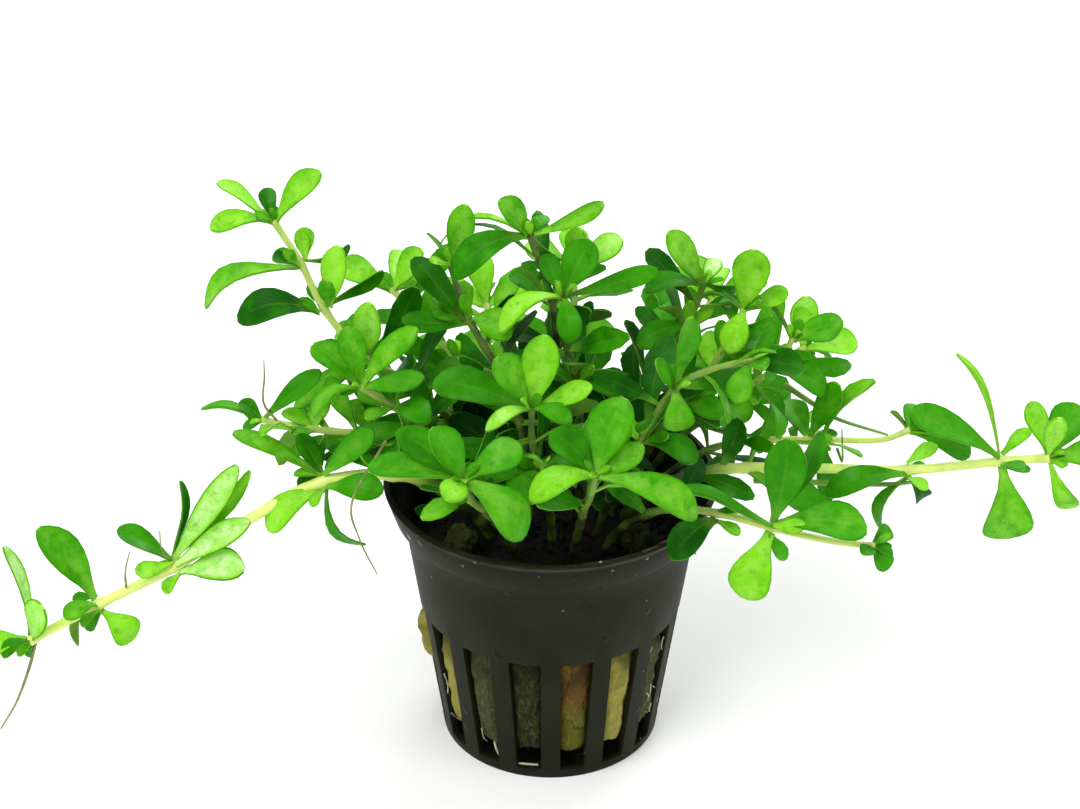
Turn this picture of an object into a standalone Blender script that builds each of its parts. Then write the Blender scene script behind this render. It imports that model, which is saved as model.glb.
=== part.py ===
"""Potted compact water hyssop: a black net pot, its wool plug, a dark soil topping and 22 leafy shoots.

Metres, +Z up. The origin is the centre of the pot's underside, and -Y is the side that faces the viewer.
Lengths below are written in millimetres times MM.
"""

import math

import bmesh
import bpy
from mathutils import Matrix, Quaternion, Vector
from mathutils.bvhtree import BVHTree

MM = 0.001
GAP = 0.3 * MM

# The pot: a tapered cup of even wall with a flared, stepped rim and slots in its lower half.
POT_HEIGHT = 48 * MM
RIM_RADIUS = 27.5 * MM
RIM_FOOT_RADIUS = 25.9 * MM
RIM_DEPTH = 5.5 * MM
WALL_TOP_RADIUS = 24.4 * MM
BASE_RADIUS = 18.4 * MM
WALL = 1.1 * MM
FLOOR = 1.3 * MM
POT_SIDES = 32
SLOTS = 16
SLOT_WIDTH_TOP = 5.4 * MM
SLOT_WIDTH_FOOT = 4.1 * MM
SLOT_TOP_Z = 25.5 * MM
SLOT_FOOT_Z = 1.7 * MM
FLOOR_SLOT_LENGTH = 6 * MM
FLOOR_SLOT_WIDTH = 2.4 * MM
FLOOR_SLOTS = 8

# What fills the pot.
PLUG_FOOT_Z = 4.5 * MM
PLUG_TOP_Z = 33 * MM
SOIL_TOP_Z = 39.5 * MM
SOIL_SIDES = 24
FILL_CLEARANCE = 0.45 * MM
# The wool lumps on the soil: name, half sizes (mm), place (mm) and turn (deg).
WOOL_TUFTS = (
    ("wool_tuft_left", (2.6, 2.2, 2.4), -14.5, -11.5, 25),
    ("wool_tuft_right", (3.2, 2.0, 2.6), 13.5, -10.5, -35),
)
TUFT_LIFT = 3.4 * MM

# Stems and leaves.
STEM_SIDES = 5
STEM_STEP = 9 * MM
STEM_TIP_TAPER = 0.72
COLLAR_WALL = 1.0 * MM
COLLAR_HEIGHT = 1.3 * MM
BUD_LENGTH = 2.4 * MM
LEAF_THICKNESS = 0.65 * MM
LEAF_ARCH = 0.07
# The stations of a leaf: share of its length, share of its width, share of its thickness.
LEAF_STATIONS = ((0.0, 0.2, 0.9), (0.45, 0.78, 1.0), (0.82, 0.96, 0.6))
PLAIN_LEAF_STATIONS = ((0.0, 0.22, 0.9), (0.66, 1.0, 0.8))
PLAIN_LEAF_WIDTH = 4.3 * MM
LIGHT_DIRECTION = Vector((0.0, -0.5, 0.866))

# A leaf that would cut through a neighbour swings aside by the first of these that clears it:
# degrees about the stem, then degrees towards the stem's tip. Each is tried to both sides.
SWINGS = [(0, 0)] + [
    (side * turn, lift)
    for turn, lift in (
        (0, 8), (8, 0), (8, 8), (0, -8), (14, -6), (16, 6), (0, 16), (22, 0), (22, 12),
        (28, -8), (30, 18), (0, 28), (42, 0), (42, 24), (42, -16), (60, 10), (80, 20),
    )
    for side in (1, -1)
]


def leaf(x, y, z, width, roll=0):
    """One leaf: its tip from the node (mm), its width (mm) and its turn away from the light (degrees)."""
    return Vector((x, y, z)) * MM, width * MM, math.radians(roll)


# Each shoot: its stem radius at the soil (mm), its route through its nodes (mm), the leaves that are pieces
# of their own, by the route point that they grow from, and the leaves that are one with the stem.
SHOOTS = {
    "runner_left": {
        "radius": 1.15,
        "route": ((-9, -5, 36), (-12, -7, 45), (-22, -10, 54), (-36, -12, 54.5), (-49, -14, 48),
                  (-60, -15, 40.5), (-72.6, -18, 35), (-82.7, -20, 30)),
        "leaves": {
            7: (leaf(3, -3, 8.5, 6), leaf(-3, 3, 16, 2.4, 45), leaf(-8.5, -3, -1, 5),
                leaf(-3.5, -5, 0.5, 3.2, 20)),
            6: (leaf(-8, 0, 14.5, 5.8), leaf(5.5, -2, -5.5, 5), leaf(-4.5, 1, -8.5, 2.4, 75),
                leaf(-4.5, -5, 1, 3.6, 10)),
            5: (leaf(10.5, 2, 17.5, 4.2, 35), leaf(11, -3, 1.5, 5.8), leaf(-9, 1, 6.5, 4.2, 20),
                leaf(1.5, 3, 14, 2.2, 75), leaf(12, 0, 8.5, 4.2, 20), leaf(12, 6, 14, 2.4, 60)),
            3: (leaf(-10, -3, -6.5, 5.2), leaf(-14, 1, 8.5, 3.6, 20), leaf(9.5, -4, 1, 4.5, 10),
                leaf(6, -1, -11.5, 2.8, 70), leaf(8, 0, 9.5, 4, 30), leaf(-4, 3, 7, 4, 20)),
        },
        "grown": {},
    },
    "runner_right": {
        "radius": 1.05,
        "route": ((10, -4, 36), (14, -5, 46), (25, -5, 52), (42, -4, 52), (57.5, -5, 52.3), (72, -8, 55.8),
                  (78, -10, 57.6)),
        "leaves": {
            6: (leaf(-3.5, 2, 9, 4.4, 15), leaf(4.5, 4, 7.5, 6), leaf(9.5, 0, 0.5, 5, 10),
                leaf(5, 0, -9.5, 3.4, 45), leaf(0, -4, 9.5, 3.4)),
            5: (leaf(-15, 0, 9.5, 5.4, 5), leaf(-8, 3, 18, 2.6, 55), leaf(1, -3, -13, 7.8)),
            4: (leaf(-13.5, -4, -2, 4.4), leaf(-4, -2, -10, 3.2, 45), leaf(3.5, 3, -7.5, 3, 40)),
        },
        "grown": {},
    },
    "trailer_right": {
        "radius": 0.75,
        "route": ((7, -9, 36), (11, -13, 46), (18, -17, 52.5), (26, -19, 53), (34.5, -20, 51),
                  (43, -20.5, 49), (49.5, -20.5, 48)),
        "leaves": {
            6: (leaf(2, -3, -2.5, 3.2), leaf(3, 3, 1.5, 2.8, 30), leaf(-2, -4, 1.5, 2.6)),
            4: (leaf(-4, -3, -11.5, 7), leaf(2, -1, 16.5, 6.4), leaf(14.5, -3, 1.5, 6.4),
                leaf(-15, -2, 8.5, 4, 30), leaf(7.5, 4, 15, 4, 50)),
            3: (leaf(-3.5, -1.5, -6.5, 2.6, 60), leaf(-7.5, -5, -5, 5.6)),
        },
        "grown": {},
    },
    "crest_left": {
        "radius": 0.8,
        "route": ((-8, 3, 36), (-12, 4, 50), (-21, 3, 62), (-30, 1, 70), (-36, 2, 78), (-39.5, 4, 85),
                  (-43, 5, 91)),
        "leaves": {
            6: (leaf(7.5, -1, 9, 4.6), leaf(-1.5, 4, 4, 2.8), leaf(-8.5, 1, 6.5, 2.6, 15),
                leaf(-9.5, -4, 1, 4.2, 15)),
            5: (leaf(0.5, 3, 5, 3.2, 10), leaf(-3.5, -5, 3.5, 3.6, 10), leaf(-15.5, -2, -6.5, 4.2, 10),
                leaf(7.5, 5, 0.5, 2.2, 75)),
            4: (leaf(3, -3, 12.5, 4.6), leaf(9.5, 3, 5, 2.6, 75), leaf(-13.5, -3, 0, 5.6, -10)),
            3: (leaf(-7, -5, 3.5, 4.2), leaf(1.5, -4, 11.5, 5), leaf(-4, 7, 2.5, 3.6),
                leaf(8, 3, 2, 4.2, 10)),
        },
        "grown": {
            2: (leaf(-8.5, -3, 1.5, 4.4), leaf(6.5, 4, 3.5, 4.6)),
        },
    },
    "crest_inner_left": {
        "radius": 0.75,
        "route": ((-3, -4, 36), (-4, -6, 52), (-6, -6, 66), (-13, -2, 78.5), (-15.5, 0, 86)),
        "leaves": {
            4: (leaf(2.5, -1, 10.5, 4.4, 15), leaf(-3.5, 5, 3, 2, 70), leaf(-2, -5, 3, 3.4, 10),
                leaf(5, 4, 1.5, 3, 30)),
            3: (leaf(-8.5, 1, 10, 4.2, -10), leaf(6.5, -6, 0, 5.4), leaf(-5, 3, 3.5, 5)),
        },
        "grown": {},
    },
    "crest_centre": {
        "radius": 0.75,
        "route": ((0, 3, 36), (1, 4, 52), (1, 2, 68), (0, 0, 81), (-3, 0, 91)),
        "leaves": {
            4: (leaf(-4.5, -2, 7, 4.8), leaf(11.5, 2, 4.5, 2.8, 45), leaf(-12, -4, -5, 5.2, -10),
                leaf(4.5, 4, -6.5, 2.2, 75), leaf(2.5, 5, 1, 2.4), leaf(-14, 3, -2.5, 2.6, 35)),
        },
        "grown": {
            3: (leaf(-4.5, 0, 5.5, 3, 70), leaf(-6, 6, 2, 4.5)),
        },
    },
    "crest_inner_right": {
        "radius": 0.7,
        "route": ((4, 1, 36), (5, 0, 52), (4, -4, 68), (2, -5, 77), (2, -5, 83)),
        "leaves": {
            4: (leaf(4, -1, 10, 5.6, 10), leaf(14.5, 2, 3.5, 3.2, 30), leaf(-10, -4, -4, 4.8, 20),
                leaf(1, -6, -5, 4), leaf(-3, 5, 5, 3.4)),
        },
        "grown": {
            2: (leaf(-8, 2, 3, 5), leaf(8, -3, 1, 5)),
        },
    },
    "crest_right": {
        "radius": 0.75,
        "route": ((7, 5, 36), (11, 7, 50), (18, 7, 64), (22, 6, 73), (24, 5, 80)),
        "leaves": {
            4: (leaf(-6, -2, 10, 5.6, 5), leaf(2.5, 4, 2.5, 3), leaf(-9.5, -4, 1, 4.6, 20),
                leaf(6, 4, -2.5, 2.6, 70)),
        },
        "grown": {
            3: (leaf(-8, -5, -1, 4.5),),
        },
    },
    "shoulder_right": {
        "radius": 0.7,
        "route": ((9, 1, 36), (14, 2, 50), (22, 1, 62), (27, 0, 71), (30, 0, 78)),
        "leaves": {
            4: (leaf(1, -2, 11.5, 6, 5), leaf(7, 2, 2.5, 3.2, 20), leaf(-7, 4, 0, 3, 50),
                leaf(-2.5, -5, -5, 4.6)),
        },
        "grown": {
            3: (leaf(8, 4, 0, 4.4),),
            2: (leaf(5, -7, 1, 4.6),),
        },
    },
    "side_right": {
        "radius": 0.65,
        "route": ((11, 4, 36), (19, 6, 49), (29, 4, 60), (36, 1, 68), (38, 0, 73)),
        "leaves": {
            4: (leaf(7.5, -2, 4, 5.4), leaf(2, 3, 4, 3, 20), leaf(-3.5, 2, 5, 2, 75)),
        },
        "grown": {
            3: (leaf(8, -3, -3, 4.6),),
            2: (leaf(2, -8, 1, 4.6),),
        },
    },
    "runner_right_upper": {
        "radius": 0.7,
        "route": ((12, 0, 36), (18, 0, 47), (28, 0, 54), (42, 0, 55), (53, -1, 55.5), (57, -1, 57)),
        "leaves": {
            5: (leaf(-2.5, 3, 2, 2.2, 65), leaf(2, -1, 3.5, 3.2, 20), leaf(10, -2, -3.5, 4.2, 15),
                leaf(1.5, 6, 1.5, 3)),
        },
        "grown": {
            3: (leaf(-3, 8, 3, 4.6), leaf(2, -2, 12, 4.2)),
        },
    },
    "side_left": {
        "radius": 0.7,
        "route": ((-11, 0, 36), (-17, -1, 48), (-28, -3, 57), (-38, -5, 60), (-45, -5, 61.5)),
        "leaves": {
            4: (leaf(-10, 2, 1, 2.6, 30), leaf(-3.5, 1, 3, 2.8, 20), leaf(9.5, -1, 9.5, 3.2, 25)),
        },
        "grown": {
            3: (leaf(0.5, 6, 2.5, 4.4),),
            2: (leaf(-5, 7, 3, 4.2), leaf(2.5, -7, 3.5, 4.6)),
        },
    },
    "front_centre": {
        "radius": 0.7,
        "route": ((0, -8, 36), (0, -13, 48), (-2, -17, 60), (-3, -18, 66), (-3, -18, 70.5)),
        "leaves": {
            4: (leaf(2, 0, 12.5, 5.8), leaf(9, -1, 4.5, 3.4, 20), leaf(-15, 1, 4, 6),
                leaf(-5, -2, 9.5, 5.4), leaf(-7, -4, -1.5, 2.6), leaf(6, -3, -0.5, 3.2, 10)),
        },
        "grown": {
            2: (leaf(-2.5, -6, -2.5, 6.4), leaf(8.5, 0, 2, 5.5), leaf(-9.5, -2, 0, 5)),
        },
    },
    "front_left": {
        "radius": 0.75,
        "route": ((-5, -9, 36), (-7, -15, 46), (-10, -22, 55), (-12.5, -27, 61), (-13, -28, 64)),
        "leaves": {
            4: (leaf(9, -3, -8.5, 6.8), leaf(-14.5, 0, 2.5, 5, 10), leaf(-2.5, -4, -1, 4.6),
                leaf(-4.5, -1, 9.5, 5.4), leaf(-10, 3, 7, 5.4), leaf(8.5, 1, 5.5, 5, 10)),
        },
        "grown": {},
    },
    "front_right": {
        "radius": 0.75,
        "route": ((3, -10, 36), (4, -16, 46), (5, -23, 56), (6, -27, 62), (6.5, -28, 65)),
        "leaves": {
            4: (leaf(-10, -3, -2.5, 5), leaf(15.5, -1, -7, 5.4, 10), leaf(4, 1, 12.5, 6.8),
                leaf(7, 0, 5, 4, 20), leaf(-6.5, 2, 6.5, 5)),
        },
        "grown": {},
    },
    "inner_right": {
        "radius": 0.65,
        "route": ((6, -4, 36), (10, -8, 50), (14, -12, 62), (19, -13, 72), (25, -12, 75), (30, -10, 75)),
        "leaves": {
            5: (leaf(8, -2, 0, 4.6, 10), leaf(1.5, -6, 2.5, 3.4), leaf(3.5, 4, 4.5, 2.8, 45),
                leaf(-2.5, -5, -4.5, 4)),
        },
        "grown": {
            3: (leaf(0.5, -2, -6.5, 5), leaf(-3, -4, 7, 4)),
            2: (leaf(9, -2, -2, 4.6),),
        },
    },
    "inner_left": {
        "radius": 0.7,
        "route": ((-6, -1, 36), (-11, -3, 50), (-19, -6, 60), (-25, -8, 66), (-29, -9, 69.5)),
        "leaves": {
            4: (leaf(10, -3, 3.5, 3.6, 20), leaf(9, -1, 11, 4.4), leaf(-7.5, -5, -2.5, 3.4, 20),
                leaf(-7.5, 3, 6, 4.2), leaf(-2, 2, 9.5, 4.4)),
        },
        "grown": {
            3: (leaf(6, -6, 1, 4.6),),
            2: (leaf(-8.5, -2, -1.5, 4.6),),
        },
    },
    "back_left": {
        "radius": 0.75,
        "route": ((-6, 8, 36), (-10, 13, 49), (-16, 19, 59), (-22, 23, 65), (-26, 26, 68)),
        "leaves": {
            4: (leaf(-9, 3, 4, 5), leaf(5, -3, 9, 5), leaf(2, 9, 3, 5), leaf(8, 4, 2, 4.6)),
        },
        "grown": {2: (leaf(-7, 6, 1, 5),)},
    },
    "back_centre": {
        "radius": 0.75,
        "route": ((1, 9, 36), (1, 15, 50), (3, 21, 61), (4, 25, 67), (4, 28, 71)),
        "leaves": {
            4: (leaf(-8, -2, 5, 5), leaf(8, 1, 5, 5), leaf(0, 9, 3, 5), leaf(1, -4, 9, 4.4)),
        },
        "grown": {2: (leaf(-8, 3, 2, 5), leaf(8, 4, 1, 5))},
    },
    "back_right": {
        "radius": 0.7,
        "route": ((8, 9, 36), (13, 14, 48), (19, 20, 57), (24, 25, 62), (27, 28, 65)),
        "leaves": {
            4: (leaf(9, 0, 4, 5), leaf(-4, -2, 9, 5), leaf(1, 9, 2, 5), leaf(-7, 5, 3, 4.6)),
        },
        "grown": {2: (leaf(8, 4, -1, 5),)},
    },
    "far_back": {
        "radius": 0.7,
        "route": ((-3, 12, 36), (-5, 18, 46), (-8, 28, 53), (-10, 36, 55), (-11, 41, 57)),
        "leaves": {
            4: (leaf(-8, 4, 3, 5), leaf(7, 5, 3, 5), leaf(-2, 3, 9, 5), leaf(-1, 9, -2, 5)),
        },
        "grown": {2: (leaf(-7, 2, 5, 5),)},
    },
    "low_back_right": {
        "radius": 0.7,
        "route": ((12, 8, 36), (19, 14, 49), (29, 21, 54), (38, 27, 54), (43, 30, 55)),
        "leaves": {
            4: (leaf(9, -2, 2, 5), leaf(2, 9, 2, 5), leaf(0, 0, 10, 5), leaf(5, 5, -5, 4.6)),
        },
        "grown": {2: (leaf(-2, 5, 7, 5), leaf(6, -6, 0, 5))},
    },
}


def clear_scene():
    for obj in list(bpy.data.objects):
        bpy.data.objects.remove(obj, do_unlink=True)


def material(name, colour, roughness, metallic=0.0):
    made = bpy.data.materials.new(name)
    made.use_nodes = True
    shader = made.node_tree.nodes["Principled BSDF"]
    shader.inputs["Base Color"].default_value = (*colour, 1.0)
    shader.inputs["Roughness"].default_value = roughness
    shader.inputs["Metallic"].default_value = metallic
    return made


def mesh_object(name, points, faces, surface=None):
    mesh = bpy.data.meshes.new(name)
    mesh.from_pydata([tuple(p) for p in points], [], faces)
    mesh.update()
    if surface:
        mesh.materials.append(surface)
    obj = bpy.data.objects.new(name, mesh)
    bpy.context.collection.objects.link(obj)
    return obj


def boolean(obj, other, operation, with_itself=False):
    """Applies one exact Boolean to obj and removes the other object."""
    modifier = obj.modifiers.new(operation.title(), "BOOLEAN")
    modifier.operation = operation
    modifier.solver = "EXACT"
    modifier.use_self = with_itself
    modifier.object = other
    bpy.context.view_layer.update()
    shape = bpy.data.meshes.new_from_object(obj.evaluated_get(bpy.context.evaluated_depsgraph_get()))
    obj.modifiers.clear()
    obj.data = shape
    bpy.data.objects.remove(other, do_unlink=True)
    return obj


def smooth_edges(obj, angle=35):
    obj.data.shade_smooth()
    obj.data.set_sharp_from_angle(angle=math.radians(angle))


def turned(profile, sides):
    """Points and faces of an outline of (radius, height) turned about Z. Radius 0 is only at its ends."""
    points, faces, rings = [], [], []
    for radius, height in profile:
        if radius == 0:
            rings.append([len(points)])
            points.append(Vector((0, 0, height)))
            continue
        rings.append(list(range(len(points), len(points) + sides)))
        for k in range(sides):
            angle = 2 * math.pi * k / sides
            points.append(Vector((radius * math.cos(angle), radius * math.sin(angle), height)))
    for low, high in zip(rings, rings[1:]):
        for k in range(sides):
            after = (k + 1) % sides
            if len(low) == 1:
                faces.append((low[0], high[after], high[k]))
            elif len(high) == 1:
                faces.append((low[k], low[after], high[0]))
            else:
                faces.append((low[k], low[after], high[after], high[k]))
    return points, faces


def wall_radius(height, inset=0.0):
    """Outer radius of the pot's tapered wall at a height, less an inset."""
    share = height / (POT_HEIGHT - RIM_DEPTH)
    return BASE_RADIUS + (WALL_TOP_RADIUS - BASE_RADIUS) * share - inset


def slot_cutter(k):
    """A wedge through the wall that is narrower at its foot, as the moulded slots are."""
    points = []
    for height, width in ((SLOT_FOOT_Z, SLOT_WIDTH_FOOT), (SLOT_TOP_Z, SLOT_WIDTH_TOP)):
        for reach in (wall_radius(height, 2.6 * WALL), wall_radius(height, -WALL)):
            for side in (-1, 1):
                points.append(Vector((side * width / 2, -reach, height)))
    faces = [(0, 1, 3, 2), (4, 6, 7, 5), (0, 4, 5, 1), (2, 3, 7, 6), (0, 2, 6, 4), (1, 5, 7, 3)]
    turn = Matrix.Rotation(2 * math.pi * k / SLOTS, 3, "Z")
    return [turn @ p for p in points], faces


def floor_cutter(k):
    """A short drain slot through the floor, along a radius."""
    middle = BASE_RADIUS * 0.42
    points = [
        Vector((side * FLOOR_SLOT_WIDTH / 2, -middle + end * FLOOR_SLOT_LENGTH / 2, level))
        for level in (-FLOOR, 2 * FLOOR)
        for side, end in ((-1, -1), (1, -1), (1, 1), (-1, 1))
    ]
    faces = [(3, 2, 1, 0), (4, 5, 6, 7), (0, 1, 5, 4), (1, 2, 6, 5), (2, 3, 7, 6), (3, 0, 4, 7)]
    turn = Matrix.Rotation(2 * math.pi * (k + 0.5) / FLOOR_SLOTS, 3, "Z")
    return [turn @ p for p in points], faces


def gathered(shapes):
    """One list of points and faces from several."""
    points, faces = [], []
    for more_points, more_faces in shapes:
        faces += [tuple(i + len(points) for i in face) for face in more_faces]
        points += more_points
    return points, faces


def net_pot(surface):
    shoulder = POT_HEIGHT - RIM_DEPTH
    inner_shoulder = shoulder + WALL
    profile = (
        (0, 0), (BASE_RADIUS, 0),
        (WALL_TOP_RADIUS, shoulder), (RIM_FOOT_RADIUS, shoulder),
        (RIM_RADIUS, POT_HEIGHT), (RIM_RADIUS - WALL, POT_HEIGHT),
        (RIM_FOOT_RADIUS - WALL, inner_shoulder), (WALL_TOP_RADIUS - WALL, inner_shoulder),
        (wall_radius(FLOOR, WALL), FLOOR), (0, FLOOR),
    )
    pot = mesh_object("net_pot", *turned(profile, POT_SIDES), surface)
    slots = [slot_cutter(k + 0.5) for k in range(SLOTS)] + [floor_cutter(k) for k in range(FLOOR_SLOTS)]
    boolean(pot, mesh_object("slots", *gathered(slots)), "DIFFERENCE")
    smooth_edges(pot)
    return pot


def wool_plug(surface):
    """The mineral-wool block: a rough tapered cylinder that follows the wall, its faces gently uneven."""
    def uneven(height, k):
        return 0.35 * MM * math.sin(3.1 * k + 900 * height)

    levels = [PLUG_FOOT_Z + (PLUG_TOP_Z - PLUG_FOOT_Z) * share for share in (0, 0.08, 1)]
    sides = SOIL_SIDES
    points, faces = turned(
        [(0, levels[0]), (wall_radius(levels[0], WALL + 2.4 * MM), levels[0])]
        + [(wall_radius(z, WALL + FILL_CLEARANCE + 0.35 * MM), z) for z in levels[1:]]
        + [(0, levels[-1])],
        sides,
    )
    shaped = []
    for index, p in enumerate(points):
        out = Vector((p.x, p.y, 0))
        if out.length > 0:
            p = p + out.normalized() * uneven(p.z, index % sides)
        shaped.append(p)
    plug = mesh_object("wool_plug", shaped, faces, surface)
    smooth_edges(plug)
    return plug


def soil_topping(surface, stems):
    """The dark crumbly layer over the plug, with a socket for each stem."""
    foot = PLUG_TOP_Z + GAP
    profile = [
        (0, foot), (wall_radius(foot, WALL + FILL_CLEARANCE), foot),
        (wall_radius(SOIL_TOP_Z - 1.5 * MM, WALL + FILL_CLEARANCE), SOIL_TOP_Z - 1.5 * MM),
        (15 * MM, SOIL_TOP_Z), (0, SOIL_TOP_Z + 0.8 * MM),
    ]
    points, faces = turned(profile, SOIL_SIDES)
    for index, p in enumerate(points):
        if p.z > SOIL_TOP_Z - 0.5 * MM:
            p.z += 0.6 * MM * math.sin(2.3 * index)
    soil = mesh_object("soil_topping", points, faces, surface)
    boolean(soil, mesh_object("sockets", *gathered(stems)), "DIFFERENCE")
    smooth_edges(soil, 50)
    return soil


def wool_tuft(name, centre, size, turn, surface):
    """A lump of mineral wool that stands on the soil, leaning on nothing."""
    bm = bmesh.new()
    bmesh.ops.create_icosphere(bm, subdivisions=2, radius=1.0)
    for vert in bm.verts:
        swell = 1 + 0.16 * math.sin(5 * vert.co.x + 3 * vert.co.z) * math.cos(4 * vert.co.y)
        vert.co = Vector((vert.co.x * size[0], vert.co.y * size[1], vert.co.z * size[2])) * swell
    bmesh.ops.rotate(bm, verts=bm.verts, matrix=Matrix.Rotation(turn, 3, "Z"))
    bmesh.ops.translate(bm, verts=bm.verts, vec=centre)
    mesh = bpy.data.meshes.new(name)
    bm.to_mesh(mesh)
    bm.free()
    mesh.materials.append(surface)
    obj = bpy.data.objects.new(name, mesh)
    bpy.context.collection.objects.link(obj)
    smooth_edges(obj, 60)
    return obj


def spline_point(route, position):
    """Point and direction on a smooth curve through the route. Position 2.5 is midway from point 2 to 3."""
    last = len(route) - 1
    k = min(int(position), last - 1)
    t = position - k
    before = route[k - 1] if k > 0 else 2 * route[0] - route[1]
    after = route[k + 2] if k + 2 <= last else 2 * route[last] - route[last - 1]
    start, end = route[k], route[k + 1]
    out, back = (end - before) / 2, (after - start) / 2
    point = (
        start * (2 * t**3 - 3 * t**2 + 1) + out * (t**3 - 2 * t**2 + t)
        + end * (3 * t**2 - 2 * t**3) + back * (t**3 - t**2)
    )
    slope = (
        start * (6 * t**2 - 6 * t) + out * (3 * t**2 - 4 * t + 1)
        + end * (6 * t - 6 * t**2) + back * (3 * t**2 - 2 * t)
    )
    return point, slope.normalized()


def tube(route, radius, thicker=0.0, longer=0.0):
    """Points and faces of a stem: rings carried along its route without twisting, closed at both ends."""
    stops = []
    for k, (a, b) in enumerate(zip(route, route[1:])):
        parts = max(1, round((b - a).length / STEM_STEP))
        stops += [k + part / parts for part in range(parts)]
    stops.append(len(route) - 1)
    points, faces = [], []
    side = Vector((1, 0, 0))
    for stop in stops:
        centre, along = spline_point(route, stop)
        if stop == stops[0]:
            centre = centre - along * longer
        elif stop == stops[-1]:
            centre = centre + along * longer
        side = (side - along * side.dot(along)).normalized()
        up = along.cross(side)
        taper = 1 + (STEM_TIP_TAPER - 1) * stop / stops[-1]
        reach = radius * taper + thicker
        for n in range(STEM_SIDES):
            angle = 2 * math.pi * n / STEM_SIDES
            points.append(centre + reach * (math.cos(angle) * side + math.sin(angle) * up))
    for ring in range(len(stops) - 1):
        low = ring * STEM_SIDES
        for n in range(STEM_SIDES):
            after = (n + 1) % STEM_SIDES
            faces.append((low + n, low + after, low + STEM_SIDES + after, low + STEM_SIDES + n))
    faces.append(tuple(reversed(range(STEM_SIDES))))
    faces.append(tuple(range(len(points) - STEM_SIDES, len(points))))
    return points, faces


def blade(base, reach, width, roll, stations):
    """Points and faces of one leaf: flat above, keeled below, broadest past its middle, arched a little."""
    along = reach.normalized()
    above = LIGHT_DIRECTION - along * LIGHT_DIRECTION.dot(along)
    above = (Matrix.Rotation(roll, 3, along) @ above).normalized()
    across = along.cross(above)
    length = reach.length
    points, faces = [], []
    for share, breadth, depth in stations:
        middle = base + along * length * share + above * LEAF_ARCH * length * 4 * share * (1 - share)
        points.append(middle + across * width * breadth / 2)
        points.append(middle - across * width * breadth / 2)
        points.append(middle - above * LEAF_THICKNESS * depth)
    points.append(base + reach)
    for ring in range(0, len(points) - 4, 3):
        for n in range(3):
            after = (n + 1) % 3
            faces.append((ring + n, ring + after, ring + 3 + after, ring + 3 + n))
    last = len(points) - 4
    for n in range(3):
        faces.append((last + n, last + (n + 1) % 3, last + 3))
    faces.append((2, 1, 0))
    return points, faces


def knob(centre, along, radius, back, front, pointed):
    """A short collar round a node, or with pointed the bud that closes a stem."""
    side = along.orthogonal().normalized()
    up = along.cross(side)
    points, faces = [], []
    rings = [(-back, radius), (front, radius)]
    if pointed:
        rings = [(-back, radius), (front * 0.35, radius), (front, radius * 0.3)]
    for distance, reach in rings:
        for n in range(STEM_SIDES):
            angle = 2 * math.pi * n / STEM_SIDES
            points.append(centre + along * distance + reach * (math.cos(angle) * side + math.sin(angle) * up))
    last = len(points) - STEM_SIDES
    for ring in range(0, last, STEM_SIDES):
        for n in range(STEM_SIDES):
            after = (n + 1) % STEM_SIDES
            faces.append((ring + n, ring + after, ring + STEM_SIDES + after, ring + STEM_SIDES + n))
    faces.append(tuple(reversed(range(STEM_SIDES))))
    faces.append(tuple(range(last, len(points))))
    return points, faces


class Crowd:
    """What is placed so far, by the piece that it belongs to, so that a new leaf can swing clear of it."""

    def __init__(self):
        self.shapes = []

    def add(self, shape, owner):
        self.shapes.append((BVHTree.FromPolygons(*shape), *corners(shape[0]), owner))

    def touches(self, shape, own_name=None):
        tree = BVHTree.FromPolygons(*shape)
        low, high = corners(shape[0])
        for other, other_low, other_high, owner in self.shapes:
            apart = any(low[i] > other_high[i] or high[i] < other_low[i] for i in range(3))
            if owner != own_name and not apart and tree.overlap(other):
                return True
        return False


def corners(points):
    """Lowest and highest corner of the box round some points."""
    return [Vector([pick(p[i] for p in points) for i in range(3)]) for pick in (min, max)]


def outer_part(shape):
    """A leaf without its first stretch, which may lie against its fellow leaves."""
    points, faces = shape
    return points[3:], [tuple(i - 3 for i in face) for face in faces if min(face) >= 3]


class Seat:
    """Where the leaves of a node are seated: its centre and direction, and how far out from the centre."""

    def __init__(self, centre, along, out):
        self.centre, self.along, self.out = centre, along, out

    def leaf(self, spec, turn, lift, stations):
        """The leaf, turned about the stem and lifted towards its tip by the given degrees."""
        reach, width, roll = spec
        if width < PLAIN_LEAF_WIDTH:
            stations = PLAIN_LEAF_STATIONS
        swung = Quaternion(self.along, math.radians(turn)) @ reach
        hinge = swung.cross(self.along).normalized()
        swung = Quaternion(hinge, math.radians(lift)) @ swung
        outward = (swung - self.along * swung.dot(self.along)).normalized() * self.out
        return blade(self.centre + outward, swung - outward, width, roll, stations)


def leaf_group(seat, specs, stations, crowd, piece_name):
    """The leaves of one node, each in the first swing that clears its fellows and all other pieces."""
    fellows = Crowd()
    placed = []
    for spec in specs:
        for turn, lift in SWINGS:
            shape = seat.leaf(spec, turn, lift, stations)
            if not crowd.touches(shape, piece_name) and not fellows.touches(outer_part(shape)):
                fellows.add(outer_part(shape), "fellow")
                placed.append(shape)
                break
        else:
            raise ValueError(f"{piece_name}: a leaf finds no room")
    for shape in placed:
        crowd.add(shape, piece_name)
    return placed


def stem_radius(shoot, index):
    return shoot["radius"] * MM * (1 + (STEM_TIP_TAPER - 1) * index / (len(shoot["path"]) - 1))


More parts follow.
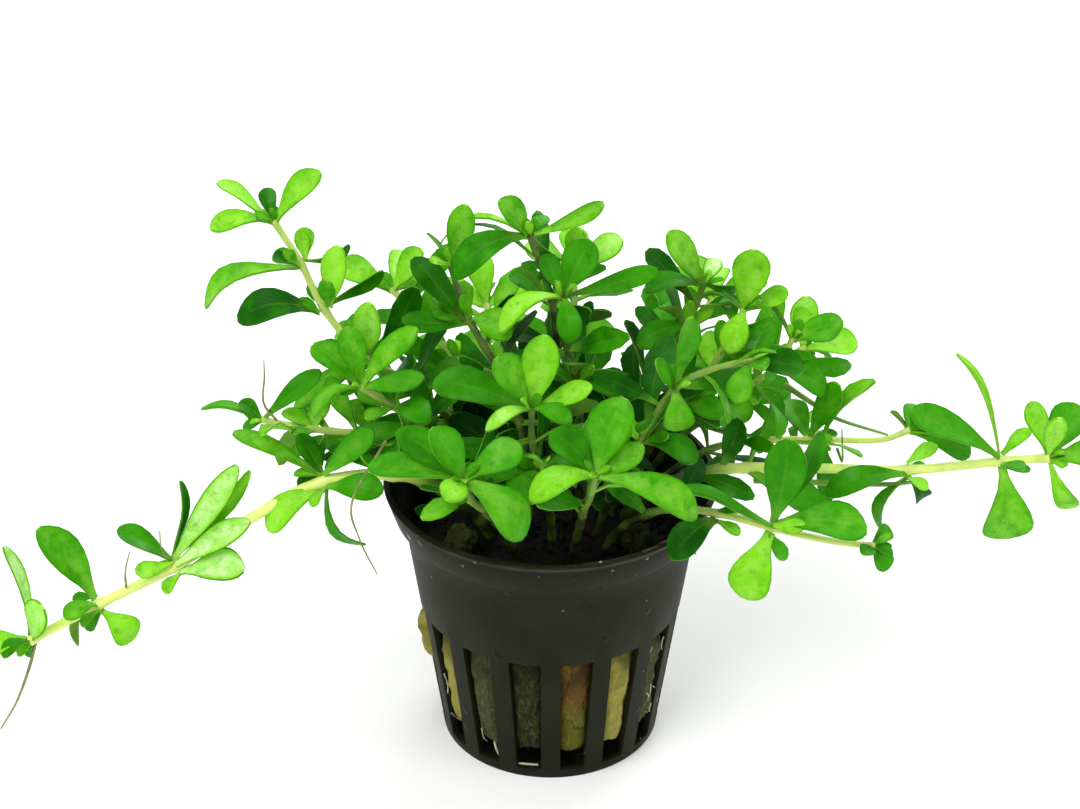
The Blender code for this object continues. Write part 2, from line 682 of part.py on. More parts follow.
def carrier(shoot, index):
    """What carries a whorl, as its leaves' seat and its shape.

    It is the collar that the stem passes through, or the bud at the stem's end.
    """
    node, along = spline_point(shoot["path"], index)
    radius = stem_radius(shoot, index)
    if index == len(shoot["path"]) - 1:
        centre = node + along * (GAP + BUD_LENGTH * 0.3)
        shape = knob(centre, along, radius, BUD_LENGTH * 0.3, BUD_LENGTH * 0.7, True)
        return Seat(centre, along, radius * 0.4), shape
    shape = knob(node, along, radius + COLLAR_WALL, COLLAR_HEIGHT / 2, COLLAR_HEIGHT / 2, False)
    return Seat(node, along, radius + (GAP + COLLAR_WALL) / 2), shape


def whorl(name, shoot, index, crowd, surface):
    """A node's leaves and what carries them, as one piece that clears its stem."""
    seat, shape = carrier(shoot, index)
    piece = mesh_object(name, *shape, surface)
    if index < len(shoot["path"]) - 1:
        clear = stem_radius(shoot, index) + GAP
        bore = knob(seat.centre, seat.along, clear, COLLAR_HEIGHT, COLLAR_HEIGHT, False)
        boolean(piece, mesh_object("bore", *bore), "DIFFERENCE")
    for blade_shape in leaf_group(seat, shoot["leaves"][index], LEAF_STATIONS, crowd, name):
        boolean(piece, mesh_object("blade", *blade_shape), "UNION")
    smooth_edges(piece)
    return piece


def stem(name, shoot, crowd, surface):
    """A stem from its socket in the soil to its tip, with its inner leaves grown on."""
    piece = mesh_object(name, *tube(shoot["path"], shoot["radius"] * MM), surface)
    for index, specs in shoot["grown"].items():
        seat = Seat(*spline_point(shoot["path"], index), stem_radius(shoot, index) / 2)
        for blade_shape in leaf_group(seat, specs, PLAIN_LEAF_STATIONS, crowd, name):
            boolean(piece, mesh_object("blade", *blade_shape), "UNION")
    smooth_edges(piece)
    return piece


def whorl_name(shoot_name, shoot, index):
    is_tip = index == len(shoot["route"]) - 1
    return f"tip_{shoot_name}" if is_tip else f"leaves_{shoot_name}_{index}"


def main():
    clear_scene()
    plastic = material("pot_plastic", (0.028, 0.028, 0.022), 0.42)
    wool = material("mineral_wool", (0.42, 0.36, 0.10), 0.95)
    soil = material("soil", (0.018, 0.014, 0.008), 0.85)
    green = material("leaf_green", (0.13, 0.45, 0.02), 0.4)
    pale = material("stem_green", (0.45, 0.60, 0.12), 0.45)

    for shoot in SHOOTS.values():
        shoot["path"] = [Vector(p) * MM for p in shoot["route"]]

    net_pot(plastic)
    wool_plug(wool)
    soil_topping(soil, [tube(s["path"], s["radius"] * MM, thicker=GAP, longer=GAP) for s in SHOOTS.values()])
    for name, size, x, y, turn in WOOL_TUFTS:
        centre = Vector((x * MM, y * MM, SOIL_TOP_Z + TUFT_LIFT))
        wool_tuft(name, centre, Vector(size) * MM, math.radians(turn), wool)

    crowd = Crowd()
    for obj in bpy.context.collection.objects:
        points = [vert.co for vert in obj.data.vertices]
        faces = [tuple(face.vertices) for face in obj.data.polygons]
        crowd.add((points, faces), obj.name)
    for name, shoot in SHOOTS.items():
        crowd.add(tube(shoot["path"], shoot["radius"] * MM), f"stem_{name}")
        for index in shoot["leaves"]:
            crowd.add(carrier(shoot, index)[1], whorl_name(name, shoot, index))

    for name, shoot in SHOOTS.items():
        for index in shoot["leaves"]:
            whorl(whorl_name(name, shoot, index), shoot, index, crowd, green)
    for name, shoot in SHOOTS.items():
        stem(f"stem_{name}", shoot, crowd, pale)


main()
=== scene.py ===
"""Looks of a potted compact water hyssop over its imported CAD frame, laid out as a Blender add-on.

Metres, +Z up, the pot's underside at the origin, -Y towards the viewer. The tables are in millimetres.
"""
import random
from math import atan2, copysign, cos, degrees, exp, hypot, pi, radians, sin, sqrt

import bmesh
import bpy
from bpy.props import FloatProperty, FloatVectorProperty, IntProperty, PointerProperty
from bpy.types import Operator, Panel, PropertyGroup
from mathutils import Matrix, Quaternion, Vector, noise
from mathutils.bvhtree import BVHTree
from mathutils.kdtree import KDTree


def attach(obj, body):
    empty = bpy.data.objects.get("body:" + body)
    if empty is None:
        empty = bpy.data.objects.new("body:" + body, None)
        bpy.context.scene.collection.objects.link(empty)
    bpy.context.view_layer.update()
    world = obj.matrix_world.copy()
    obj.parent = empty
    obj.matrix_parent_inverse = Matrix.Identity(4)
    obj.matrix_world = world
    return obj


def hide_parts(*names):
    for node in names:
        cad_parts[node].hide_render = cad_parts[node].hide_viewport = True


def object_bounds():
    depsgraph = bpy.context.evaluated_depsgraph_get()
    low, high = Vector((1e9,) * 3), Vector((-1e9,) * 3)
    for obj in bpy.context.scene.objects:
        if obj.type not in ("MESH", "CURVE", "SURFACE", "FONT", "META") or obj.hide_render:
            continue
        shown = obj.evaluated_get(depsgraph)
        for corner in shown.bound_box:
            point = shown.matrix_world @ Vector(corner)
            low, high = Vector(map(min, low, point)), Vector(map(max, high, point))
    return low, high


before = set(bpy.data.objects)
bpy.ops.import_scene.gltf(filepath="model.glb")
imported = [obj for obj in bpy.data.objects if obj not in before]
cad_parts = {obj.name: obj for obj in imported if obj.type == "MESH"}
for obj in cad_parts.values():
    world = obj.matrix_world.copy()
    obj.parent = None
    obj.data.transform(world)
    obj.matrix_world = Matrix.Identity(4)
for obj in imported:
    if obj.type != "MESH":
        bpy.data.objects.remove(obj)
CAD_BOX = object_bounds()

bl_info = {
    "name": "Potted compact water hyssop",
    "version": (1, 0, 0),
    "blender": (4, 5, 0),
    "location": "View3D > Sidebar > Hyssop",
    "description": "Models a black net pot with mineral wool, soil and leafy trailing shoots",
    "category": "Add Mesh",
}

MM = 0.001
LIGHT_DIRECTION = Vector((0.0, -0.5, 0.866))
CAMERA_PLACE = Vector((-1.76, -348.19, 264.93)) * MM
CAMERA_TILT = radians(30.28)
LENS = 83.3
SENSOR_WIDTH = 36

# The soft lights: name, place (m), size (m), share of the key's power.
LIGHTS = (
    ("key", (-0.45, -0.5, 0.95), 0.7, 1.0),
    ("back", (0.35, 0.7, 0.7), 0.6, 0.6),
    ("side", (0.9, -0.3, 0.5), 0.5, 0.3),
)

# The pot, as in the CAD.
POT_HEIGHT = 48 * MM
RIM_DEPTH = 5.5 * MM
RIM_RADIUS = 27.5 * MM
RIM_FOOT_RADIUS = 25.9 * MM
WALL_TOP_RADIUS = 24.4 * MM
BASE_RADIUS = 18.4 * MM
SLOTS = 16
SIDES_PER_SLOT = 13
SLOT_SIDES = 8
SLOT_FOOT_Z = 1.7 * MM
SLOT_TOP_Z = 25.5 * MM
RIB_WIDTH = 3.25 * MM
FLOOR_SLOTS = 8
FLOOR_SLOT_SIDES = 9
FLOOR_SLOT_REACH = (4.7 * MM, 10.7 * MM)
POT_HUB = 2.2 * MM
WALL_LEVELS = (1.7, 8, 14, 20, 25.5, 32, 38, 41)

# What fills the pot.
PLUG_FOOT_Z = 4.5 * MM
PLUG_TOP_Z = 33 * MM
SOIL_TOP_Z = 39.5 * MM
SOIL_RADIUS = 22.3 * MM
SOIL_RINGS = (21, 20, 19, 18, 17, 16, 15, 14, 12.5, 11, 9, 7, 5, 3)
SOIL_SIDES = 96
WOOL_SIDES = 132
WOOL_LEVELS = 30
LUMP_FIBRES = 170
BULGE_ANGLE = 281.25
BULGE_Z = 19.8 * MM
WOOL_LUMPS = (
    ("left", (2.6, 2.2, 2.4), (-14.5, -11.5, 42.9), 25),
    ("right", (3.2, 2.0, 2.6), (13.5, -10.5, 42.9), -35),
)

# Stems and leaves, as in the CAD.
STEM_TIP_TAPER = 0.72
COLLAR_WALL = 1.0 * MM
BUD_LENGTH = 2.4 * MM
GAP = 0.3 * MM
NODE_REACH = 1.1 * MM
TUBE_STEP = 1.1 * MM
ROUTE_STEP = 0.02
SWINGS = [(0, 0)] + [
    (side * turn, lift)
    for turn, lift in (
        (0, 8), (8, 0), (8, 8), (0, -8), (14, -6), (16, 6), (0, 16), (22, 0), (22, 12),
        (28, -8), (30, 18), (0, 28), (42, 0), (42, 24), (42, -16), (60, 10), (80, 20),
    )
    for side in (1, -1)
]

# The outline of a leaf: share of its length, share of its half width.
FULL_OUTLINE = (
    (0, 0.17), (0.1, 0.2), (0.24, 0.36), (0.4, 0.64), (0.55, 0.86), (0.69, 0.99),
    (0.8, 0.98), (0.89, 0.82), (0.955, 0.55), (1, 0.2),
)
PLAIN_OUTLINE = ((0, 0.18), (0.22, 0.34), (0.48, 0.78), (0.72, 1), (0.9, 0.78), (1, 0.26))


def leaf(x, y, z, width, tone=None, roll=0):
    """One leaf: its tip from the node and its width (mm), its painted light and tone, and its turn from the
    light (degrees).
    """
    return Vector((x, y, z)) * MM, width * MM, radians(roll), tone


def sprout(radius, route, own, grown=None):
    """One shoot: stem radius and route (mm), and its leaves by node, as own pieces or on the stem."""
    own, grown = [
        {node: [leaf(*row) for row in rows] for node, rows in kind.items()} for kind in (own, grown or {})]
    return {"radius": radius * MM, "path": [Vector(p) * MM for p in route], "leaves": own, "grown": grown}


SHOOTS = {
    "runner_left": sprout(
        1.15, ((-9, -5, 36), (-12, -7, 45), (-22, -10, 54), (-36, -12, 54.5), (-49, -14, 48),
         (-60, -15, 40.5), (-72.6, -18, 35), (-82.7, -20, 30)),
        {7: ((3, -3, 8.5, 6, 1), (-3, 3, 16, 2.4, 1.1, 45), (-8.5, -3, -1, 5, 0.9),
             (-3.5, -5, 0.5, 3.2, 0.3, 20)),
         6: ((-8, 0, 14.5, 5.8, 0.55), (5.5, -2, -5.5, 5, 0.85), (-4.5, 1, -8.5, 2.4, 0.1, 75),
             (-4.5, -5, 1, 3.6, 0.6, 10)),
         5: ((10.5, 2, 17.5, 4.2, 1.05, 35), (11, -3, 1.5, 5.8, 1.15), (-9, 1, 6.5, 4.2, 0.3, 20),
             (1.5, 3, 14, 2.2, 0.2, 75), (12, 0, 8.5, 4.2, 1.1, 20), (12, 6, 14, 2.4, 0.8, 60)),
         3: ((-10, -3, -6.5, 5.2, 0.85), (-14, 1, 8.5, 3.6, 0.6, 20), (9.5, -4, 1, 4.5, 0.45, 10),
             (6, -1, -11.5, 2.8, 0.3, 70), (8, 0, 9.5, 4, 0.5, 30), (-4, 3, 7, 4, 0.25, 20))}),
    "runner_right": sprout(
        1.05, ((10, -4, 36), (14, -5, 46), (25, -5, 52), (42, -4, 52), (57.5, -5, 52.3), (72, -8, 55.8),
         (78, -10, 57.6)),
        {6: ((-3.5, 2, 9, 4.4, 0.8, 15), (4.5, 4, 7.5, 6, 0.45), (9.5, 0, 0.5, 5, 0.6, 10),
             (5, 0, -9.5, 3.4, 0.75, 45), (0, -4, 9.5, 3.4, 0.95)),
         5: ((-15, 0, 9.5, 5.4, 0.4, 5), (-8, 3, 18, 2.6, 0.9, 55), (1, -3, -13, 7.8, 0.65)),
         4: ((-13.5, -4, -2, 4.4, 0.35), (-4, -2, -10, 3.2, 0.5, 45), (3.5, 3, -7.5, 3, 0.1, 40))}),
    "trailer_right": sprout(
        0.75, ((7, -9, 36), (11, -13, 46), (18, -17, 52.5), (26, -19, 53), (34.5, -20, 51), (43, -20.5, 49),
         (49.5, -20.5, 48)),
        {6: ((2, -3, -2.5, 3.2, 0.35), (3, 3, 1.5, 2.8, 0.4, 30), (-2, -4, 1.5, 2.6, 0.3)),
         4: ((-4, -3, -11.5, 7, 0.85), (2, -1, 16.5, 6.4, 0.35), (14.5, -3, 1.5, 6.4, 0.55),
             (-15, -2, 8.5, 4, 0.35, 30), (7.5, 4, 15, 4, 0.3, 50)),
         3: ((-3.5, -1.5, -6.5, 2.6, 0.3, 60), (-7.5, -5, -5, 5.6, 0.1))}),
    "crest_left": sprout(
        0.8, ((-8, 3, 36), (-12, 4, 50), (-21, 3, 62), (-30, 1, 70), (-36, 2, 78), (-39.5, 4, 85),
         (-43, 5, 91)),
        {6: ((7.5, -1, 9, 4.6, 0.75), (-1.5, 4, 4, 2.8, 0.2), (-8.5, 1, 6.5, 2.6, 0.95, 15),
             (-9.5, -4, 1, 4.2, 0.7, 15)),
         5: ((0.5, 3, 5, 3.2, 0.8, 10), (-3.5, -5, 3.5, 3.6, 0.15, 10), (-15.5, -2, -6.5, 4.2, 0.7, 10),
             (7.5, 5, 0.5, 2.2, 0.2, 75)),
         4: ((3, -3, 12.5, 4.6, 0.85), (9.5, 3, 5, 2.6, 0.3, 75), (-13.5, -3, 0, 5.6, 0.12, -10)),
         3: ((-7, -5, 3.5, 4.2, 0.5), (1.5, -4, 11.5, 5, 0.95), (-4, 7, 2.5, 3.6, 0.6),
             (8, 3, 2, 4.2, 0.4, 10))},
        {2: ((-8.5, -3, 1.5, 4.4, 0.6), (6.5, 4, 3.5, 4.6, 0.5))}),
    "crest_inner_left": sprout(
        0.75, ((-3, -4, 36), (-4, -6, 52), (-6, -6, 66), (-13, -2, 78.5), (-15.5, 0, 86)),
        {4: ((2.5, -1, 10.5, 4.4, 0.65, 15), (-3.5, 5, 3, 2, 0.3, 70), (-2, -5, 3, 3.4, 0.9, 10),
             (5, 4, 1.5, 3, 0.4, 30)),
         3: ((-8.5, 1, 10, 4.2, 0.15, -10), (6.5, -6, 0, 5.4, 0.6), (-5, 3, 3.5, 5, 0.35))}),
    "crest_centre": sprout(
        0.75, ((0, 3, 36), (1, 4, 52), (1, 2, 68), (0, 0, 81), (-3, 0, 91)),
        {4: ((-4.5, -2, 7, 4.8, 0.6), (11.5, 2, 4.5, 2.8, 0.7, 45), (-12, -4, -5, 5.2, 0.3, -10),
             (4.5, 4, -6.5, 2.2, 0.1, 75), (2.5, 5, 1, 2.4, 0.5), (-14, 3, -2.5, 2.6, 0.8, 35))},
        {3: ((-4.5, 0, 5.5, 3, 0.3, 70), (-6, 6, 2, 4.5, 0.45))}),
    "crest_inner_right": sprout(
        0.7, ((4, 1, 36), (5, 0, 52), (4, -4, 68), (2, -5, 77), (2, -5, 83)),
        {4: ((4, -1, 10, 5.6, 0.4, 10), (14.5, 2, 3.5, 3.2, 0.35, 30), (-10, -4, -4, 4.8, 0.9, 20),
             (1, -6, -5, 4, 0.35), (-3, 5, 5, 3.4, 0.3))},
        {2: ((-8, 2, 3, 5, 0.5), (8, -3, 1, 5, 0.3))}),
    "crest_right": sprout(
        0.75, ((7, 5, 36), (11, 7, 50), (18, 7, 64), (22, 6, 73), (24, 5, 80)),
        {4: ((-6, -2, 10, 5.6, 0.7, 5), (2.5, 4, 2.5, 3, 1.45), (-9.5, -4, 1, 4.6, 0.25, 20),
             (6, 4, -2.5, 2.6, 0.2, 70))},
        {3: ((-8, -5, -1, 4.5, 0.3),)}),
    "shoulder_right": sprout(
        0.7, ((9, 1, 36), (14, 2, 50), (22, 1, 62), (27, 0, 71), (30, 0, 78)),
        {4: ((1, -2, 11.5, 6, 0.75, 5), (7, 2, 2.5, 3.2, 0.8, 20), (-7, 4, 0, 3, 0.2, 50),
             (-2.5, -5, -5, 4.6, 0.85))},
        {3: ((8, 4, 0, 4.4, 0.35),),
         2: ((5, -7, 1, 4.6, 0.5),)}),
    "side_right": sprout(
        0.65, ((11, 4, 36), (19, 6, 49), (29, 4, 60), (36, 1, 68), (38, 0, 73)),
        {4: ((7.5, -2, 4, 5.4, 0.55), (2, 3, 4, 3, 0.75, 20), (-3.5, 2, 5, 2, 0.1, 75))},
        {3: ((8, -3, -3, 4.6, 0.4),),
         2: ((2, -8, 1, 4.6, 0.5),)}),
    "runner_right_upper": sprout(
        0.7, ((12, 0, 36), (18, 0, 47), (28, 0, 54), (42, 0, 55), (53, -1, 55.5), (57, -1, 57)),
        {5: ((-2.5, 3, 2, 2.2, 0.05, 65), (2, -1, 3.5, 3.2, 0.3, 20), (10, -2, -3.5, 4.2, 0.4, 15),
             (1.5, 6, 1.5, 3, 0.45))},
        {3: ((-3, 8, 3, 4.6, 0.5), (2, -2, 12, 4.2, 0.45))}),
    "side_left": sprout(
        0.7, ((-11, 0, 36), (-17, -1, 48), (-28, -3, 57), (-38, -5, 60), (-45, -5, 61.5)),
        {4: ((-10, 2, 1, 2.6, 0.55, 30), (-3.5, 1, 3, 2.8, 0.3, 20), (9.5, -1, 9.5, 3.2, 0.35, 25))},
        {3: ((0.5, 6, 2.5, 4.4, 1),),
         2: ((-5, 7, 3, 4.2, 0.6), (2.5, -7, 3.5, 4.6, 0.45))}),
    "front_centre": sprout(
        0.7, ((0, -8, 36), (0, -13, 48), (-2, -17, 60), (-3, -18, 66), (-3, -18, 70.5)),
        {4: ((2, 0, 12.5, 5.8, 0.8), (9, -1, 4.5, 3.4, 0.9, 20), (-15, 1, 4, 6, 0.35),
             (-5, -2, 9.5, 5.4, 0.6), (-7, -4, -1.5, 2.6, 1), (6, -3, -0.5, 3.2, 0.5, 10))},
        {2: ((-2.5, -6, -2.5, 6.4, 0.45), (8.5, 0, 2, 5.5, 0.3), (-9.5, -2, 0, 5, 0.4))}),
    "front_left": sprout(
        0.75, ((-5, -9, 36), (-7, -15, 46), (-10, -22, 55), (-12.5, -27, 61), (-13, -28, 64)),
        {4: ((9, -3, -8.5, 6.8, 0.6), (-14.5, 0, 2.5, 5, 0.45, 10), (-2.5, -4, -1, 4.6, 0.75),
             (-4.5, -1, 9.5, 5.4, 0.5), (-10, 3, 7, 5.4, 0.35), (8.5, 1, 5.5, 5, 0.5, 10))}),
    "front_right": sprout(
        0.75, ((3, -10, 36), (4, -16, 46), (5, -23, 56), (6, -27, 62), (6.5, -28, 65)),
        {4: ((-10, -3, -2.5, 5, 0.75), (15.5, -1, -7, 5.4, 0.6, 10), (4, 1, 12.5, 6.8, 0.5),
             (7, 0, 5, 4, 0.6, 20), (-6.5, 2, 6.5, 5, 0.35))}),
    "inner_right": sprout(
        0.65, ((6, -4, 36), (10, -8, 50), (14, -12, 62), (19, -13, 72), (25, -12, 75), (30, -10, 75)),
        {5: ((8, -2, 0, 4.6, 0.2, 10), (1.5, -6, 2.5, 3.4, 0.5), (3.5, 4, 4.5, 2.8, 0.4, 45),
             (-2.5, -5, -4.5, 4, 0.6))},
        {3: ((0.5, -2, -6.5, 5, 0.6), (-3, -4, 7, 4, 0.4)),
         2: ((9, -2, -2, 4.6, 0.25),)}),
    "inner_left": sprout(
        0.7, ((-6, -1, 36), (-11, -3, 50), (-19, -6, 60), (-25, -8, 66), (-29, -9, 69.5)),
        {4: ((10, -3, 3.5, 3.6, 0.45, 20), (9, -1, 11, 4.4, 0.6), (-7.5, -5, -2.5, 3.4, 0.55, 20),
             (-7.5, 3, 6, 4.2, 0.5), (-2, 2, 9.5, 4.4, 0.5))},
        {3: ((6, -6, 1, 4.6, 0.4),),
         2: ((-8.5, -2, -1.5, 4.6, 0.4),)}),
    "back_left": sprout(
        0.75, ((-6, 8, 36), (-10, 13, 49), (-16, 19, 59), (-22, 23, 65), (-26, 26, 68)),
        {4: ((-9, 3, 4, 5), (5, -3, 9, 5), (2, 9, 3, 5), (8, 4, 2, 4.6))},
        {2: ((-7, 6, 1, 5),)}),
    "back_centre": sprout(
        0.75, ((1, 9, 36), (1, 15, 50), (3, 21, 61), (4, 25, 67), (4, 28, 71)),
        {4: ((-8, -2, 5, 5), (8, 1, 5, 5), (0, 9, 3, 5), (1, -4, 9, 4.4))},
        {2: ((-8, 3, 2, 5), (8, 4, 1, 5))}),
    "back_right": sprout(
        0.7, ((8, 9, 36), (13, 14, 48), (19, 20, 57), (24, 25, 62), (27, 28, 65)),
        {4: ((9, 0, 4, 5), (-4, -2, 9, 5), (1, 9, 2, 5), (-7, 5, 3, 4.6))},
        {2: ((8, 4, -1, 5),)}),
    "far_back": sprout(
        0.7, ((-3, 12, 36), (-5, 18, 46), (-8, 28, 53), (-10, 36, 55), (-11, 41, 57)),
        {4: ((-8, 4, 3, 5), (7, 5, 3, 5), (-2, 3, 9, 5), (-1, 9, -2, 5))},
        {2: ((-7, 2, 5, 5),)}),
    "low_back_right": sprout(
        0.7, ((12, 8, 36), (19, 14, 49), (29, 21, 54), (38, 27, 54), (43, 30, 55)),
        {4: ((9, -2, 2, 5), (2, 9, 2, 5), (0, 0, 10, 5), (5, 5, -5, 4.6))},
        {2: ((-2, 5, 7, 5), (6, -6, 0, 5))}),
}

# How green the outer stretch of a stem is, from pale at 0.
OTHER_STEMS_AGE = 0.22
STEM_AGES = {
    "runner_left": 0.0, "runner_right": 0.1, "runner_right_upper": 0.14, "trailer_right": 0.18,
    "front_left": 0.5, "front_centre": 0.4, "front_right": 0.5, "inner_right": 0.3,
}

# No small leaf hangs lower than this, nor stands before a dark gap in the plant, seen within this angle.
SMALL_LEAF_FLOOR = 44 * MM
DARK_GAP = Vector((19.1, -5, 56.8)) * MM
DARK_GAP_ANGLE = 0.01

# How far along its route a shoot carries small leaves between its named ones. Others carry them all the way.
LEAFY_UP_TO = {
    "runner_left": 2.3, "runner_right": 2.6, "runner_right_upper": 3.4, "trailer_right": 2.3,
    "crest_left": 3.2, "side_left": 3.6,
}

# How often a place is tried for a small leaf, and what it mustn't hide.
TRIES = 14
MOUTH_NODES = ("net_pot", "soil_topping")
LEAF_SIGHT = 70 * MM
MOUTH_SIGHT = 90 * MM

# Small leaves and buds: lengths (mm), widths (shares of the length) and how far they lean from the stem
# (degrees), and how many buds of which length stand at a tip and at a lower node.
SMALL_LEAF_LENGTHS = (9, 14.5)
SMALL_LEAF_WIDTHS = (0.24, 0.42)
SMALL_LEAF_SPREADS = (36, 88)
BUD_SPREADS = (16, 46)
TIP_BUDS = (4, 3 * MM)
NODE_BUDS = (3, 5 * MM)

# Pale roots behind the slots: angles from the front (degrees), and routes of two short ones (mm), the first
# of which is a pale strand laid as a painted glint at the corner of the floor and the wall.
PALE_ROOT_ANGLES = (-92, -88, -70, -37, 52, 54, 57, 60, 62, 88, 94, 141, 150, 176, 212, 238)
SHORT_ROOTS_AND_GLINT = (
    ((-5.3, -17, 2), (-3.8, -17.5, 2.2), (-2.1, -17.3, 1.9)),
    ((-9.4, -15, 5.2), (-9, -15.5, 3.6), (-8.2, -15.8, 2.1)),
)

# How green the bare stalks are.
STALK_AGE = 0.5

# Thin aerial roots and bare stalks: name, radius at its start (mm), route (mm).
ROOTS = (
    ("left_long", 0.34, ((-83, -20, 29), (-84.5, -20.3, 24), (-87.5, -19.4, 16.5), (-91, -18, 10))),
    ("left_hair", 0.22, ((-68, -17.5, 38), (-67.6, -18.8, 42), (-66.6, -19, 45.8))),
    ("left_second", 0.2, ((-60.5, -15.2, 40.5), (-62, -16.2, 44), (-62, -16.4, 48))),
    ("low_left", 0.26, ((-26, -12, 62), (-30.8, -21.5, 57), (-29.9, -23, 51), (-27.2, -24, 44.8))),
    ("upper_left", 0.24, ((-43.5, -5, 61.2), (-45.6, -5.8, 65.2), (-45.2, -6, 70), (-45.1, -6, 73.2))),
    ("right_stalk", 0.52, ((37.7, 1.5, 64.4), (42.2, 0.5, 61.6), (46.3, -1, 59.5), (54.3, -3, 57.7))),
    ("right_lower", 0.62, ((33, -3.5, 49.5), (42.2, -5.4, 50.2), (54, -6, 50.2), (60, -6.2, 51))),
    ("right_pale", 0.3, ((46.4, -1.8, 54.5), (47.2, -3.4, 53), (46.8, -3, 58.8))),
)


def srgb(red, green, blue):
    """A colour as it shows on screen, 0 to 255, as the linear values that shaders use."""
    values = [channel / 255 for channel in (red, green, blue)]
    return tuple(v / 12.92 if v < 0.04045 else ((v + 0.055) / 1.055) ** 2.4 for v in values)


def length_setting(name, description, millimetres):
    return FloatProperty(name=name, description=description, default=millimetres * MM, unit="LENGTH")


def colour_setting(name, description, *rgb):
    return FloatVectorProperty(name=name, description=description, default=srgb(*rgb), subtype="COLOR")


class HYSSOP_PG_pot(PropertyGroup):
    wall: length_setting("Wall", "Thickness of the pot's wall", 1.1)
    edge: length_setting("Edge", "Rounding of the pot's edges", 0.22)
    colour: colour_setting("Plastic", "Colour of the moulded plastic", 25, 28, 11)


class HYSSOP_PG_filling(PropertyGroup):
    fibres: IntProperty(name="Fibres", description="Loose fibres on the wool block", default=520)
    crumbs: IntProperty(name="Crumbs", description="Loose crumbs on the soil", default=300)
    wool: colour_setting("Wool", "Colour of clean mineral wool", 148, 142, 64)
    soil: colour_setting("Soil", "Colour of the wet soil", 22, 17, 11)


class HYSSOP_PG_plant(PropertyGroup):
    thickness: length_setting("Leaf thickness", "Thickness of a leaf", 0.42)
    internode: length_setting("Internode", "Distance between pairs of small leaves", 4.4)
    # The bright and deep greens also paint light on the outer leaves and shade on the inner ones.
    bright: colour_setting("Bright leaf", "Colour of the outer leaves", 130, 210, 28)
    middle: colour_setting("Leaf", "Colour of most leaves", 54, 146, 0)
    deep: colour_setting("Deep leaf", "Colour of the inner leaves", 8, 76, 0)
    pale: colour_setting("Pale leaf", "Colour of undersides and midribs", 168, 218, 84)
    stem: colour_setting("Stem", "Colour of the young stems", 222, 238, 128)


class HYSSOP_PG_stage(PropertyGroup):
    floor: FloatProperty(name="Floor", description="Width of the floor", default=6.0, unit="LENGTH")
    key: FloatProperty(name="Key", description="Power of the large soft light", default=9.5, unit="POWER")
    world: FloatProperty(name="World", description="Strength of the light all round", default=0.58)


def start_clean():
    """Leaves edit mode and deselects everything."""
    if bpy.context.mode != "OBJECT":
        bpy.ops.object.mode_set(mode="OBJECT")
    bpy.ops.object.select_all(action="DESELECT")


def pick(*objects):
    """Selects just these objects. The last one is active."""
    start_clean()
    for obj in objects:
        obj.select_set(True)
    bpy.context.view_layer.objects.active = objects[-1]


def edit(obj):
    pick(obj)
    bpy.ops.object.mode_set(mode="EDIT")


def begin(add, **settings):
    """Adds a primitive and opens it in edit mode, with all of it selected."""
    start_clean()
    add(**settings)
    edit(bpy.context.object)
    bpy.ops.mesh.select_all(action="SELECT")
    return bpy.context.object


def close_up():
    """In edit mode, turns all faces outwards, then leaves edit mode."""
    bpy.ops.mesh.select_all(action="SELECT")
    bpy.ops.mesh.normals_make_consistent(inside=False)
    start_clean()


def choose(obj, kind, test):
    """In edit mode, selects the vertices or faces whose middle passes a test."""
    bpy.ops.mesh.select_mode(type=kind)
    bpy.ops.mesh.select_all(action="DESELECT")
    shape = bmesh.from_edit_mesh(obj.data)
    items = shape.verts if kind == "VERT" else shape.faces
    for item in items:
        middle = item.co if kind == "VERT" else item.calc_center_median()
        item.select_set(bool(test(middle)))
    shape.select_flush_mode()
    bmesh.update_edit_mesh(obj.data)


def finish_with(obj, kind, **settings):
    """Adds one modifier and applies it."""
    pick(obj)
    modifier = obj.modifiers.new(kind.title(), kind)
    for key, value in settings.items():
        setattr(modifier, key, value)
    bpy.ops.object.modifier_apply(modifier=modifier.name)


def joined(objects):
    """One object from several."""
    pick(*objects)
    if len(objects) > 1:
        bpy.ops.object.join()
    return bpy.context.object


def hand_over(obj, name, surface, nodes=(), angle=60):
    """Names a finished piece, settles its place into its mesh and ties it to the frame."""
    pick(obj)
    bpy.ops.object.transform_apply(location=True, rotation=True, scale=True)
    bpy.ops.object.shade_smooth_by_angle(angle=radians(angle))
    obj.name = obj.data.name = name
    obj.data.materials.clear()
    obj.data.materials.append(surface)
    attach(obj, "root")
    if nodes:
        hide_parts(*nodes)


def extrude_rings(start, stations):
    """In edit mode, draws the selected ring of edges through stations of (radius, height)."""
    radius, height = start
    for next_radius, next_height in stations:
        bpy.ops.mesh.extrude_edges_move(TRANSFORM_OT_translate={"value": (0, 0, next_height - height)})
        ratio = next_radius / radius
        bpy.ops.transform.resize(value=(ratio, ratio, 1), center_override=(0, 0, 0))
        radius, height = next_radius, next_height


def drawn_up(sides, hub, foot, rings):
    """A closed round body, drawn from a disc at its foot through rings of (radius, height)."""
    body = begin(bpy.ops.mesh.primitive_circle_add, vertices=sides, radius=hub, fill_type="NGON")
    bpy.ops.transform.translate(value=(0, 0, foot))
    extrude_rings((hub, foot), rings)
    bpy.ops.mesh.edge_face_add()
    close_up()
    return body


def wall_radius(height):
    """Outer radius of the pot's tapered wall at a height."""
    return BASE_RADIUS + (WALL_TOP_RADIUS - BASE_RADIUS) * height / (POT_HEIGHT - RIM_DEPTH)


def front_angle(point):
    """Angle about Z from the front (-Y), anticlockwise seen from above, 0 to 360 degrees."""
    return degrees(atan2(point.x, -point.y)) % 360


def fade(distance, reach, power):
    """1 at no distance, falling to 0 at the reach, the later the higher the power."""
    return max(0.0, 1 - (distance / reach) ** power)


def around(angle, radius, height):
    """The point at an angle about Z from the front (radians), a radius and a height."""
    return Vector((sin(angle) * radius, -cos(angle) * radius, height))


